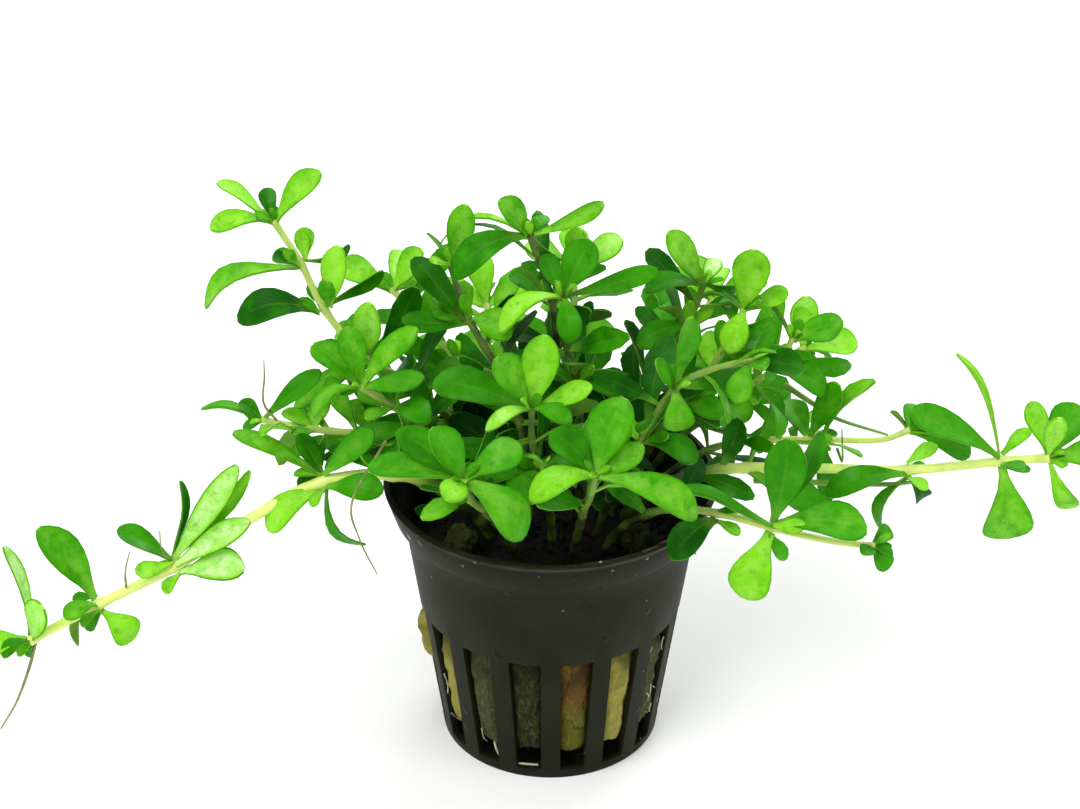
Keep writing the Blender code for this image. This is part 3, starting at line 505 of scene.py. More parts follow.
class Value:
    """A shader socket, so that maths on it is written as an expression."""

    def __init__(self, finish, socket):
        self.finish = finish
        self.socket = socket

    def maths(self, operation, *values):
        return self.finish.node("ShaderNodeMath", {"operation": operation}, dict(enumerate(values)))

    def __add__(self, other):
        return self.maths("ADD", self, other)

    def __sub__(self, other):
        return self.maths("SUBTRACT", self, other)

    def __rsub__(self, other):
        return self.maths("SUBTRACT", other, self)

    def __mul__(self, other):
        return self.maths("MULTIPLY", self, other)

    def __truediv__(self, other):
        return self.maths("DIVIDE", self, other)

    def __abs__(self):
        return self.maths("ABSOLUTE", self)

    __radd__ = __add__
    __rmul__ = __mul__

    def within(self, low, high):
        """0 below low, 1 above high, smooth between."""
        smooth = {"interpolation_type": "SMOOTHSTEP"}
        return self.finish.node("ShaderNodeMapRange", smooth, {0: self, 1: low, 2: high})


class Finish:
    """A node material in the making, named for what it covers. Its patterns read Object coordinates."""

    def __init__(self, name):
        self.material = bpy.data.materials.new(name)
        self.material.use_nodes = True
        self.tree = self.material.node_tree
        self.shader = self.tree.nodes["Principled BSDF"]
        self.place = self.node("ShaderNodeTexCoord", out="Object")

    def node(self, kind, settings=None, inputs=None, out=0):
        """A node of a type, with its settings and then the values or links of its sockets."""
        made = self.tree.nodes.new(kind)
        for key, value in (settings or {}).items():
            if key == "stops":
                self.set_stops(made.color_ramp, value)
            else:
                setattr(made, key, value)
        for key, value in (inputs or {}).items():
            self.feed(made.inputs[key], value)
        return Value(self, made.outputs[out])

    def feed(self, socket, value):
        if isinstance(value, Value):
            self.tree.links.new(value.socket, socket)
        elif socket.type == "RGBA":
            socket.default_value = (*value[:3], 1.0)
        else:
            socket.default_value = value

    def set_stops(self, ramp, stops):
        while len(ramp.elements) < len(stops):
            ramp.elements.new(0.5)
        for element, (place, colour) in zip(ramp.elements, stops):
            element.position = place
            element.color = (*colour, 1.0)

    def cover(self, **values):
        """Sets or links sockets of the shader, whose spaces are underscores here, and gives the material."""
        for key, value in values.items():
            self.feed(self.shader.inputs[key.replace("_", " ")], value)
        return self.material

    def parts(self, vector):
        """The three numbers of a vector."""
        made = self.node("ShaderNodeSeparateXYZ", inputs={0: vector})
        return [Value(self, socket) for socket in made.socket.node.outputs]

    def attribute(self, name):
        return self.node("ShaderNodeAttribute", {"attribute_name": name}, out="Fac")

    def stretched(self, *scale):
        return self.node("ShaderNodeMapping", inputs={"Vector": self.place, "Scale": scale})

    def noise(self, scale, detail=3.0, roughness=0.55, distortion=0.0, at=None):
        inputs = {"Vector": at or self.place, "Scale": scale, "Detail": detail, "Roughness": roughness,
                  "Distortion": distortion}
        return self.node("ShaderNodeTexNoise", inputs=inputs)

    def cells(self, scale, out):
        return self.node("ShaderNodeTexVoronoi", inputs={"Vector": self.place, "Scale": scale}, out=out)

    def spots(self, scale, size, rarity, channel=0, wander=0.0):
        """Small round spots, in the middle of some of the cells of a scattered pattern."""
        away = self.cells(scale, "Distance") + wander
        chance = self.parts(self.cells(scale, "Color"))[channel]
        return (1 - away.within(*size)) * chance.within(*rarity)

    def mix(self, factor, first, second):
        """Two colours mixed by a factor."""
        return self.node("ShaderNodeMix", {"data_type": "RGBA"}, {0: factor, 6: first, 7: second}, 2)

    def layers(self, colour, *coats):
        """A colour under coats of (mask, colour), laid one over another."""
        for mask, coat in coats:
            colour = self.mix(mask, colour, coat)
        return colour

    def bump(self, height, strength, distance):
        inputs = {"Height": height, "Strength": strength, "Distance": distance}
        return self.node("ShaderNodeBump", inputs=inputs)


def pot_plastic(settings):
    """Black moulded plastic, satin and faintly olive, with dark drops of water and small pale specks of
    painted glint.
    """
    finish = Finish("pot_plastic")
    z = finish.parts(finish.place)[2]
    cloud = finish.noise(90, 4)
    grain = finish.noise(2600, 2)
    wander = finish.noise(700, 2) - 0.5
    streak = finish.noise(1.0, at=finish.stretched(420, 420, 34))
    # The pale specks on the wall and along the lip are painted glints of light on wet plastic.
    glint_speck = finish.spots(520, (0.07, 0.16), (0.94, 0.95), 0, wander * 0.16)
    lip_glint_speck = finish.spots(520, (0.08, 0.18), (0.68, 0.7), 0, wander * 0.16) * z.within(0.0445, 0.046)
    drop = finish.spots(300, (0.15, 0.23), (0.8, 0.81), 1, wander * 0.1)
    lower = 1 - z.within(0.0, 0.02)
    lip = z.within(0.0425, 0.044)
    dark, light = [tuple(share * c for c in settings.colour) for share in (0.75, 1.25)]
    colour = finish.layers(
        dark,
        (cloud.within(0.3, 0.7), light),
        (streak.within(0.6, 0.8) * 0.2, srgb(58, 62, 44)),
        (lower * 0.3 + lip * 0.45, srgb(14, 16, 7)),
        (glint_speck * 0.55, srgb(132, 134, 112)),
        (lip_glint_speck * 0.6, srgb(150, 152, 130)),
        (drop * 0.85, srgb(4, 6, 2)),
    )
    return finish.cover(
        Base_Color=colour,
        Roughness=0.46 + cloud * 0.14 + glint_speck * 0.3 - drop * 0.36,
        Normal=finish.bump(grain * 0.3 + streak * 0.2 + drop * 2.4 + glint_speck, 0.22, 0.00016),
        Specular_IOR_Level=0.1,
        Coat_Weight=z.within(0.0472, 0.0477) * cloud.within(0.35, 0.6) * 0.5,
        Coat_Roughness=0.15,
    )


def wool_fibre(settings, name="wool_fibre", mossy=0.0):
    """Mineral wool seen through the slots: tan, moss and rust by side, darker towards the top, with painted
    shade in its cracks.
    """
    finish = Finish(name)
    x, y, z = finish.parts(finish.place)
    wander = finish.noise(260) - 0.5
    turn = finish.node("ShaderNodeMath", {"operation": "ARCTAN2"}, {0: x, 1: y * -1.0})
    share = turn / (2 * pi) + 0.5 + wander * 0.02
    tan, moss, dark = tuple(settings.wool), srgb(16, 24, 2), srgb(56, 62, 36)
    stops = (
        (0.0, tan), (0.06, moss), (0.125, dark), (0.19, tan), (0.25, tan), (0.365, tan), (0.385, dark),
        (0.43, dark), (0.445, moss), (0.49, moss), (0.51, tan), (0.57, tan),
        (0.62, tan), (0.635, dark), (0.69, dark), (0.75, moss), (0.84, tan), (0.92, dark), (1.0, tan),
    )
    rusty = share.within(0.493, 0.505) * (1 - share.within(0.558, 0.57))
    rust = finish.mix(z.within(0.012, 0.019), srgb(84, 84, 14), srgb(94, 64, 18))
    side = finish.mix(rusty, finish.node("ShaderNodeValToRGB", {"stops": stops}, {"Fac": share}), rust)
    fibre = finish.noise(1900, 4, distortion=0.8, at=finish.stretched(1.0, 1.0, 0.45))
    clump = finish.noise(420, 4)
    crack = finish.noise(150, distortion=1.2, at=finish.stretched(1.0, 1.0, 0.6))
    # Painted shade: dark lines where the wool is cracked.
    crack_shade = (0.75 - abs(crack - 0.47).within(0.0, 0.035) * 0.75) * (0.25 + 0.75 * rusty)
    # Darker towards the top of the slots, in patches.
    darker_top = z.within(0.016, 0.0235) * finish.noise(160, 2).within(0.36, 0.6)
    colour = finish.layers(
        side,
        (clump.within(0.3, 0.72) * 0.6, finish.mix(0.6, side, dark)),
        (fibre.within(0.42, 0.7) * 0.5, finish.mix(0.16, side, srgb(206, 200, 96))),
        (crack_shade, srgb(20, 16, 5)),
        (darker_top * 0.72, srgb(22, 20, 8)),
        (mossy, finish.mix(clump.within(0.4, 0.65), srgb(18, 28, 9), srgb(48, 62, 26))),
    )
    return finish.cover(
        Base_Color=colour,
        Roughness=0.72 + fibre * 0.24,
        Normal=finish.bump(fibre * 0.6 + clump * 0.8, 0.75, 0.0005),
        Specular_IOR_Level=0.15,
    )


def wet_soil(settings):
    """Near black crumbly soil with brown crumbs and a few pale specks."""
    finish = Finish("wet_soil")
    clump = finish.noise(330, 5)
    grain = finish.noise(1500, 4)
    colour = finish.layers(
        tuple(0.22 * c for c in settings.soil),
        (clump.within(0.35, 0.7), settings.soil),
        (grain.within(0.58, 0.72) * 0.35, srgb(58, 48, 26)),
        (finish.spots(520, (0.12, 0.2), (0.9, 0.93)) * 0.7, srgb(128, 120, 92)),
    )
    return finish.cover(
        Base_Color=colour,
        Roughness=0.5 + grain * 0.45,
        Normal=finish.bump(grain + clump * 1.5, 0.9, 0.0006),
        Specular_IOR_Level=0.25,
    )


def leaf_green(settings):
    """Satin leaf: bright to deep green by leaf as painted light and shade, with a painted sheen and a near
    white painted glare on the brightest, and paler at its foot, midrib and underside.
    """
    finish = Finish("leaf_green")
    u, v, _ = finish.parts(finish.node("ShaderNodeUVMap", {"uv_map": "UVMap"}))
    tone = finish.attribute("tone")
    under = finish.attribute("underside")
    patch = finish.noise(240) - 0.5
    grain = finish.noise(2200, 2)
    blotch = finish.noise(820, roughness=0.65)
    cloudy = finish.noise(420, 4).within(0.36, 0.62)
    out = abs(u - 0.5) * 2
    rib = (1 - out.within(0.02, 0.13)) * (1 - v.within(0.35, 0.95))
    foot = 1 - v.within(0.0, 0.3)
    margin = out.within(0.84, 0.99)
    # Painted glare: the brightest leaves turn near white away from their edges.
    painted_glare = tone.within(0.86, 1.3) * (1 - out.within(0.45, 0.95)) * (0.35 + 0.65 * cloudy)
    veins = finish.node("ShaderNodeMath", {"operation": "SINE"}, {0: (v * 1.4 - out * 0.62) * 42})
    shade = tone + patch * 0.55
    # Painted sheen: pale patches on lit leaves, away from their edges.
    sheen = cloudy * tone.within(0.3, 0.8) * (1 - out.within(0.3, 0.9))
    # From the darkest to the brightest green by each leaf's painted light and shade.
    colour = finish.layers(
        srgb(1, 30, 0),
        (shade.within(-0.45, 0.0), settings.deep),
        (shade.within(0.0, 0.5), settings.middle),
        (shade.within(0.45, 1.0), settings.bright),
        (veins.within(0.75, 1.0) * 0.04, settings.bright),
        (sheen * 0.3, srgb(176, 232, 92)),
        (painted_glare, srgb(222, 246, 186)),
        (blotch.within(0.52, 0.72) * 0.3, settings.deep),
        (rib * 0.06 + foot * 0.3, settings.pale),
        (margin * (0.4 + 0.4 * tone.within(0.9, 1.1)), settings.deep),
        (under * 0.32, settings.pale),
    )
    return finish.cover(
        Base_Color=colour,
        Roughness=0.4 + grain * 0.12 + under * 0.16,
        Normal=finish.bump(grain * 0.25 - rib * 0.5 + veins * 0.05 + patch * 2.4, 0.3, 0.0003),
        Specular_IOR_Level=0.08,
        Coat_Weight=(patch + 0.5).within(0.5, 0.7) * 0.12,
        Coat_Roughness=0.2,
        Subsurface_Weight=0.15,
        Subsurface_Radius=(0.35, 1.0, 0.06),
        Subsurface_Scale=0.0011,
    )


def stem_green(settings):
    """Pale yellow-green stem, greener and darker at its nodes and with age, and darker still towards the soil
    and inside the plant by painted shade.
    """
    finish = Finish("stem_green")
    age = finish.attribute("age")
    patch = finish.noise(300)
    grain = finish.noise(1800)
    colour = finish.layers(
        settings.stem,
        (age.within(0.0, 0.5), srgb(92, 140, 26)),
        # Near black where the painted shade is deepest.
        (age.within(0.4, 1.0), srgb(30, 40, 12)),
        (patch.within(0.45, 0.75) * 0.4, srgb(140, 186, 44)),
        (finish.attribute("node") * 0.45, srgb(126, 150, 52)),
        (grain.within(0.62, 0.75) * 0.25, srgb(120, 104, 44)),
    )
    return finish.cover(
        Base_Color=colour,
        Roughness=0.36 + patch * 0.2,
        Normal=finish.bump(grain * 0.5 + patch, 0.25, 0.0002),
        Subsurface_Weight=0.3,
        Subsurface_Radius=(0.8, 1.0, 0.2),
        Subsurface_Scale=0.0012,
    )


def root_skin(name, scale, detail, colours, roughness, bump):
    """Skin of the roots: two colours in patches."""
    finish = Finish(name)
    patch = finish.noise(scale, detail)
    return finish.cover(
        Base_Color=finish.mix(patch.within(0.3, 0.7), *[srgb(*colour) for colour in colours]),
        Roughness=roughness[0] + patch * roughness[1],
        Normal=finish.bump(patch, *bump),
    )


def floor_white():
    """Pale matte floor with the faintest unevenness."""
    finish = Finish("floor_white")
    cloud = finish.noise(3, 2)
    colour = finish.mix(cloud, (0.91, 0.91, 0.91), (0.94, 0.94, 0.94))
    return finish.cover(Base_Color=colour, Roughness=0.75 + cloud * 0.1, Specular_IOR_Level=0.2)


def even_rib(vert, step):
    """Slides a point of the wall round it, so that the rib that it borders has the same width all the way."""
    pitch = 360 / SLOTS
    angle = front_angle(vert.co)
    aside = angle - round(angle / pitch) * pitch
    drawn = (SIDES_PER_SLOT - SLOT_SIDES) / 2 * step
    wanted = degrees(RIB_WIDTH / 2 / wall_radius(vert.co.z))
    if abs(aside) <= drawn * 1.01:
        moved = aside * wanted / drawn
    else:
        ratio = (pitch / 2 - wanted) / (pitch / 2 - drawn)
        moved = copysign(pitch / 2 - (pitch / 2 - abs(aside)) * ratio, aside)
    vert.co = Matrix.Rotation(radians(moved - aside), 3, "Z") @ vert.co


def build_pot(settings):
    """The net pot: rings drawn from a circle, slots opened in its wall and floor, then given a wall."""
    sides = SLOTS * SIDES_PER_SLOT
    step = 360 / sides
    pot = begin(bpy.ops.mesh.primitive_circle_add, vertices=sides, radius=POT_HUB, fill_type="NOTHING")
    bpy.ops.transform.rotate(value=radians(step / 2), orient_axis="Z", center_override=(0, 0, 0))
    low, high = FLOOR_SLOT_REACH
    shoulder = POT_HEIGHT - RIM_DEPTH
    stations = [(low, 0), (high, 0), (BASE_RADIUS, 0)]
    stations += [(wall_radius(z * MM), z * MM) for z in WALL_LEVELS]
    stations += [(RIM_FOOT_RADIUS - 0.5 * MM, shoulder), (RIM_FOOT_RADIUS, shoulder + 0.6 * MM)]
    stations += [(RIM_RADIUS, POT_HEIGHT)]
    extrude_rings((POT_HUB, 0), stations)
    for vert in bmesh.from_edit_mesh(pot.data).verts:
        if 1 * MM < vert.co.z < 30 * MM:
            even_rib(vert, step)
    choose(pot, "VERT", lambda p: hypot(p.x, p.y) < POT_HUB * 1.01)
    bpy.ops.mesh.edge_face_add()
    per_floor_slot = sides // FLOOR_SLOTS

    def opens(middle):
        segment = round(front_angle(middle) / step)
        if middle.z < 0.5 * MM:
            aside = abs(segment % per_floor_slot - per_floor_slot / 2)
            return low < hypot(middle.x, middle.y) < high and aside <= FLOOR_SLOT_SIDES / 2
        in_height = SLOT_FOOT_Z < middle.z < SLOT_TOP_Z
        return in_height and abs(segment % SIDES_PER_SLOT - SIDES_PER_SLOT / 2) <= SLOT_SIDES / 2

    choose(pot, "FACE", opens)
    bpy.ops.mesh.delete(type="FACE")
    close_up()
    finish_with(pot, "SOLIDIFY", thickness=settings.wall, offset=-1, use_even_offset=True)
    finish_with(pot, "BEVEL", width=settings.edge, segments=2, limit_method="ANGLE", angle_limit=radians(40))
    hand_over(pot, "pot", pot_plastic(settings), ["net_pot"], 35)


def uneven(obj, amount, size, seed, test=None):
    """Moves the points of a finished mesh in and out along its normals by fractal noise."""
    shift = Vector((seed * 7.3, seed * 3.1, seed * 5.7))
    moved = []
    for vert in obj.data.vertices:
        swell = noise.fractal(vert.co / size + shift, 0.7, 2.1, 4)
        share = 1.0 if test is None else test(vert.co)
        moved.append(vert.co + vert.normal * amount * swell * share)
    for vert, place in zip(obj.data.vertices, moved):
        vert.co = place
    obj.data.update()


def fibre_master():
    """One short bent fibre of wool, three sided."""
    fibre = begin(bpy.ops.mesh.primitive_cone_add, vertices=3, radius1=0.06, radius2=0.02, depth=1)
    bpy.ops.transform.translate(value=(0, 0, 0.5))
    bpy.ops.mesh.bisect(plane_co=(0, 0, 0.5), plane_no=(0, 0, 1))
    choose(fibre, "VERT", lambda p: p.z > 0.9)
    bpy.ops.transform.translate(value=(0.35, 0, -0.1))
    choose(fibre, "VERT", lambda p: 0.4 < p.z < 0.6)
    bpy.ops.transform.translate(value=(0.05, 0.08, 0))
    start_clean()
    return fibre


def copies(master, places):
    """Copies of a small master, each with its own mesh, one at each of the given matrices."""
    made = []
    for place in places:
        copy = master.copy()
        copy.data = master.data.copy()
        copy.data.transform(place)
        bpy.context.collection.objects.link(copy)
        made.append(copy)
    return made


def remove(obj):
    bpy.data.objects.remove(obj, do_unlink=True)


def aimed(place, direction, length, turn, thickness=None):
    """A matrix that stands a unit shape at a place, along a direction."""
    facing = direction.to_track_quat("Z", "Y").to_matrix().to_4x4()
    width = length if thickness is None else thickness
    size = Matrix.Diagonal((width, width, length, 1))
    return Matrix.Translation(place) @ facing @ Matrix.Rotation(turn, 4, "Z") @ size


def wool_radius(height):
    """Radius of the wool block, which follows the pot's wall."""
    return wall_radius(height) - 1.85 * MM


def swell_into_slots(vert):
    """Moves a point of the wool's side out into the slot before it, and out of one slot altogether."""
    angle = front_angle(vert.co)
    out = Vector((vert.co.x, vert.co.y, 0)).normalized()
    height = vert.co.z
    across = fade((angle - BULGE_ANGLE + 180) % 360 - 180, 5.6, 4)
    along = fade(height - BULGE_Z, 5.2 * MM, 4)
    if height > 6 * MM:
        vert.co += out * 2.9 * MM * across * along
    pitch = 360 / SLOTS
    swell = fade(angle % pitch - pitch / 2, 7, 6) * fade(height - 14.8 * MM, 10.4 * MM, 6)
    swell *= 1.3 + 0.35 * noise.noise(out * 6.3) + 0.25 * noise.noise(vert.co / (4 * MM))
    vert.co += out * MM * swell * (1 - across * along)
    vert.co.z += noise.noise(out * 4.1) * 1.5 * MM * fade(height - PLUG_FOOT_Z, 6 * MM, 1)


def build_wool(settings):
    """The wool block, which swells into the slots and out of one of them, with loose fibres on its side."""
    vary = random.Random(11).uniform
    foot = wool_radius(PLUG_FOOT_Z)
    rings = [(6 * MM, PLUG_FOOT_Z), (11 * MM, PLUG_FOOT_Z), (foot - 1.6 * MM, PLUG_FOOT_Z)]
    rings += [(foot - 0.4 * MM, PLUG_FOOT_Z + 0.5 * MM)]
    heights = [PLUG_FOOT_Z + (PLUG_TOP_Z - PLUG_FOOT_Z) * k / WOOL_LEVELS for k in range(1, WOOL_LEVELS + 1)]
    rings += [(wool_radius(height), height) for height in heights]
    rings += [(14 * MM, PLUG_TOP_Z), (5 * MM, PLUG_TOP_Z)]
    block = drawn_up(WOOL_SIDES, 2 * MM, PLUG_FOOT_Z, rings)
    uneven(block, 0.42 * MM, 3.2 * MM, 1)
    uneven(block, 0.16 * MM, 0.9 * MM, 2)
    for vert in block.data.vertices:
        if vert.co.xy.length > 12 * MM:
            swell_into_slots(vert)
    fibre = fibre_master()
    places = []
    for _ in range(settings.fibres):
        angle = vary(0, 2 * pi)
        height = vary(PLUG_FOOT_Z + 1 * MM, 27 * MM)
        out = around(angle, 1, 0)
        lean = Vector([vary(-0.9, 0.9) for _ in range(3)])
        at = out * (wool_radius(height) - 0.15 * MM) + Vector((0, 0, height))
        places.append(aimed(at, out + lean, vary(0.7, 1.5) * MM, vary(0, 6), 0.9 * MM))
    block = joined([*copies(fibre, places), block])
    remove(fibre)
    hand_over(block, "wool_block", wool_fibre(settings), ["wool_plug"])


def build_pale_roots():
    """Thin white roots that run down the wool behind the slots and curl in the gap under it, and a short pale
    strand as a painted glint at the floor's corner.
    """
    vary = random.Random(5).uniform
    made = []
    for start in PALE_ROOT_ANGLES:
        angle = radians(start)
        top = vary(12, 25) if abs(start) > 50 else 8
        height = top * MM
        route = []
        while height > 3.4 * MM and len(route) < 11:
            radius = wool_radius(height) + 1.4 * MM
            if height < PLUG_FOOT_Z + 0.5 * MM:
                radius -= 1.6 * MM
            route.append(around(angle, radius, height))
            angle += vary(-0.05, 0.07)
            height -= vary(1.2, 2.4) * MM
        if len(route) > 2:
            made.append(tube(route, lambda share: 0.11 * MM, 4))
    for short in SHORT_ROOTS_AND_GLINT:
        made.append(tube([Vector(p) * MM for p in short], lambda share: 0.2 * MM, 4))
    skin = root_skin("root_white", 700, 3, ((120, 124, 84), (196, 196, 164)), (0.25, 0.2), (0.3, 0.0001))
    hand_over(joined(made), "pale_roots", skin)


def build_lumps(settings):
    """Two lumps of mossy wool on the soil, under the plant."""
    fibre = fibre_master()
    surface = wool_fibre(settings, "wool_lump", 0.8)
    for number, (name, size, centre, turn) in enumerate(WOOL_LUMPS):
        chance = random.Random(name)
        vary = chance.uniform
        lump = begin(bpy.ops.mesh.primitive_ico_sphere_add, subdivisions=5, radius=1)
        bpy.ops.transform.resize(value=tuple(s * MM for s in size), center_override=(0, 0, 0))
        bpy.ops.transform.rotate(value=-radians(turn), orient_axis="Z", center_override=(0, 0, 0))
        bpy.ops.transform.translate(value=tuple(c * MM for c in centre))
        start_clean()
        uneven(lump, 0.55 * MM, 2.0 * MM, 4 + number)
        uneven(lump, 0.2 * MM, 0.6 * MM, 8 + number)
        spots = chance.sample(list(lump.data.vertices), LUMP_FIBRES)
        places = [
            aimed(v.co - v.normal * 0.1 * MM, v.normal + Vector([vary(-1, 1) for _ in range(3)]),
                  vary(0.5, 1.2) * MM, vary(0, 6), 0.8 * MM)
            for v in spots
        ]
        lump = joined([*copies(fibre, places), lump])
        hand_over(lump, f"wool_lump_{name}", surface, [f"wool_tuft_{name}"])
    remove(fibre)


def build_soil(settings):
    """The dark soil layer: an uneven disc under loose crumbs."""
    chance = random.Random(23)
    vary = chance.uniform
    foot = PLUG_TOP_Z + 0.3 * MM
    rings = [(10 * MM, foot), (wall_radius(foot) - 1.6 * MM, foot)]
    rings += [(SOIL_RADIUS - 0.2 * MM, SOIL_TOP_Z - 1.2 * MM)]
    rings += [(radius * MM, SOIL_TOP_Z) for radius in SOIL_RINGS]
    soil = drawn_up(SOIL_SIDES, 1.5 * MM, foot, rings)

    def on_top(point):
        return 1.0 if point.z > SOIL_TOP_Z - 0.5 * MM else 0.2

    uneven(soil, 1.0 * MM, 4.5 * MM, 31, on_top)
    uneven(soil, 0.35 * MM, 1.3 * MM, 32, on_top)
    bpy.ops.mesh.primitive_ico_sphere_add(subdivisions=1, radius=1)
    crumb = bpy.context.object
    places = []
    for _ in range(settings.crumbs):
        radius = 20.6 * MM * sqrt(chance.random())
        angle = vary(0, 2 * pi)
        at = Vector((cos(angle) * radius, sin(angle) * radius, SOIL_TOP_Z + vary(-0.2, 0.5) * MM))
        size = vary(0.3, 0.85) * MM
        shape = Matrix.Diagonal((size, size * vary(0.6, 1), size * vary(0.5, 0.9), 1))
        places.append(Matrix.Translation(at) @ Matrix.Rotation(vary(0, 6), 4, "Z") @ shape)
    soil = joined([*copies(crumb, places), soil])
    remove(crumb)
    hand_over(soil, "soil", wet_soil(settings), ["soil_topping"], 30)


def spline_point(route, position):
    """Point and direction on a smooth curve through the route. Position 2.5 is midway from point 2 to 3."""
    last = len(route) - 1
    k = min(int(position), last - 1)
    t = position - k
    before = route[k - 1] if k > 0 else 2 * route[0] - route[1]
    after = route[k + 2] if k + 2 <= last else 2 * route[last] - route[last - 1]
    start, end = route[k], route[k + 1]
    out, back = (end - before) / 2, (after - start) / 2
    point = (
        start * (2 * t**3 - 3 * t**2 + 1) + out * (t**3 - 2 * t**2 + t)
        + end * (3 * t**2 - 2 * t**3) + back * (t**3 - t**2)
    )
    slope = (
        start * (6 * t**2 - 6 * t) + out * (3 * t**2 - 4 * t + 1)
        + end * (6 * t - 6 * t**2) + back * (3 * t**2 - 2 * t)
    )
    return point, slope.normalized()


def tube(route, radius_at, resolution=3):
    """A round tube along a smooth route, with a radius given by the share of the way."""
    steps = max(6, round(sum((b - a).length for a, b in zip(route, route[1:])) / TUBE_STEP))
    start_clean()
    bpy.ops.curve.primitive_nurbs_path_add()
    curve = bpy.context.object
    curve.data.splines.clear()
    line = curve.data.splines.new("POLY")
    line.points.add(steps)
    for k, point in enumerate(line.points):
        share = k / steps
        place, _ = spline_point(route, share * (len(route) - 1))
        point.co = (*place, 1)
        point.radius = radius_at(share)
    curve.data.dimensions = "3D"
    curve.data.bevel_depth = 1.0
    curve.data.bevel_resolution = resolution
    curve.data.use_fill_caps = True
    pick(curve)
    bpy.ops.object.convert(target="MESH")
    return bpy.context.object


def stem_radius(shoot, position):
    return shoot["radius"] * (1 + (STEM_TIP_TAPER - 1) * position / (len(shoot["path"]) - 1))


def paint(obj, name, values):
    """Stores one number for each point of a mesh, for its material to read."""
    obj.data.attributes.new(name, "FLOAT", "POINT").data.foreach_set("value", values)


def stem_nodes(name, shoot, internode):
    """Route positions at which a shoot carries pairs of small leaves, from just over the rim upwards."""
    last = len(shoot["path"]) - 1
    end = LEAFY_UP_TO.get(name, last - 0.25)
    found = []
    travelled = internode * 0.6
    before = shoot["path"][0]
    position = 0.0
    while position < end:
        position += ROUTE_STEP
        place, _ = spline_point(shoot["path"], position)
        travelled += (place - before).length
        before = place
        if place.z > SMALL_LEAF_FLOOR and travelled >= internode:
            found.append(position)
            travelled = 0.0
    return found


def build_stem(name, shoot, surface, settings):
    """A stem with a swelling at each node, thinner towards its tip, from the soil up."""
    route = shoot["path"]
    last = len(route) - 1
    nodes = stem_nodes(name, shoot, settings.internode) + list(shoot["leaves"]) + list(shoot["grown"])
    marks = [spline_point(route, node)[0] for node in nodes]

    def swelling(place):
        nearest = min((place - mark).length for mark in marks)
        return exp(-((nearest / NODE_REACH) ** 2))

    def radius_at(share):
        place, _ = spline_point(route, share * last)
        return stem_radius(shoot, share * last) * (0.9 + 0.26 * swelling(place))

    # Painted shade: darker inside the plant and low towards the soil, added to the stem's own age.
    def age(place):
        inside = max(0.0, 1 - hypot(place.x, place.y) / (32 * MM))
        low = max(0.0, (58 - place.z / MM) / 12)
        return min(1.0, low * inside * 2 + inside * 0.8 + STEM_AGES.get(name, OTHER_STEMS_AGE))

    end, along = spline_point(route, last)
    stem = tube([*route[:-1], end + along * (GAP + BUD_LENGTH * 0.4)], radius_at)
    places = [vert.co for vert in stem.data.vertices]
    paint(stem, "age", [age(place) for place in places])
    paint(stem, "node", [swelling(place) for place in places])
    hand_over(stem, f"{name}_stem", surface, [f"stem_{name}"])
    return stem


def leaf_master(name, columns, outline):
    """A flat leaf of unit length and half width, drawn row by row from a grid, then given a thickness."""
    rows = len(outline) - 1
    master = begin(bpy.ops.mesh.primitive_grid_add, x_subdivisions=columns, y_subdivisions=rows, size=2)
    levels = sorted({round(v.co.y, 4) for v in bmesh.from_edit_mesh(master.data).verts})
    for level, (share, breadth) in reversed(list(zip(levels, outline))):
        choose(master, "VERT", lambda p: abs(p.y - level) < 0.001 and p.z == 0)
        bpy.ops.transform.resize(value=(breadth, 1, 1), center_override=(0, level, 0))
        bpy.ops.transform.translate(value=(0, share - level, 0.5))
    bpy.ops.mesh.select_all(action="SELECT")
    bpy.ops.transform.translate(value=(0, 0, -0.5))
    finish_with(master, "SOLIDIFY", thickness=1.0, offset=-1, use_even_offset=False)
    master.name = name
    return master


def bent_points(flat, base, reach, width, roll, form, thickness):
    """The points of a flat leaf laid from its base to its tip and bent to its form."""
    length = reach.length
    along = reach / length
    above = LIGHT_DIRECTION - along * LIGHT_DIRECTION.dot(along)
    above = (Matrix.Rotation(roll, 3, along) @ above).normalized()
    across = along.cross(above)
    points = []
    for co in flat:
        bow = 4 * co.y * (1 - co.y)
        swirl = form["twist"] * (co.y - 0.5)
        side = across * cos(swirl) + above * sin(swirl)
        face = above * cos(swirl) - across * sin(swirl)
        x = co.x * width / 2
        lift = length * (form["arch"] * bow + form["curl"] * sin(2 * pi * co.y))
        x *= 1 + form["oval"] * (0.62 - co.y)
        cup = form["cup"] * width * (co.x * co.x - 0.25) * min(1, 3 * co.y)
        cup += form["fold"] * width * (abs(co.x) - 0.4) * bow
        crease = 0.03 * width * (max(0.0, 1 - abs(co.x) * 3.2)) * (1 - co.y)
        ripple = form["ripple"] * width * abs(co.x) * sin(9 * co.y + form["phase"])
        depth = co.z * thickness * (1 - 0.45 * co.x * co.x)
        points.append(
            base + along * (length * co.y) + above * lift + across * (length * form["sway"] * bow)
            + side * x + face * (cup - crease + ripple + depth)
        )
    return points


def random_form(vary, lively=1.0):
    """How one leaf departs from a flat one."""
    return {
        "arch": 0.06 + vary(-0.03, 0.06) * lively,
        "curl": vary(-0.035, 0.03) * lively,
        "cup": vary(-0.12, 0.16),
        "fold": vary(0.02, 0.17),
        "oval": vary(-0.15, 0.65),
        "twist": vary(-0.7, 0.7) * lively,
        "sway": vary(-0.06, 0.06) * lively,
        "ripple": vary(0.0, 0.05) * lively,
        "phase": vary(0, 6),
    }


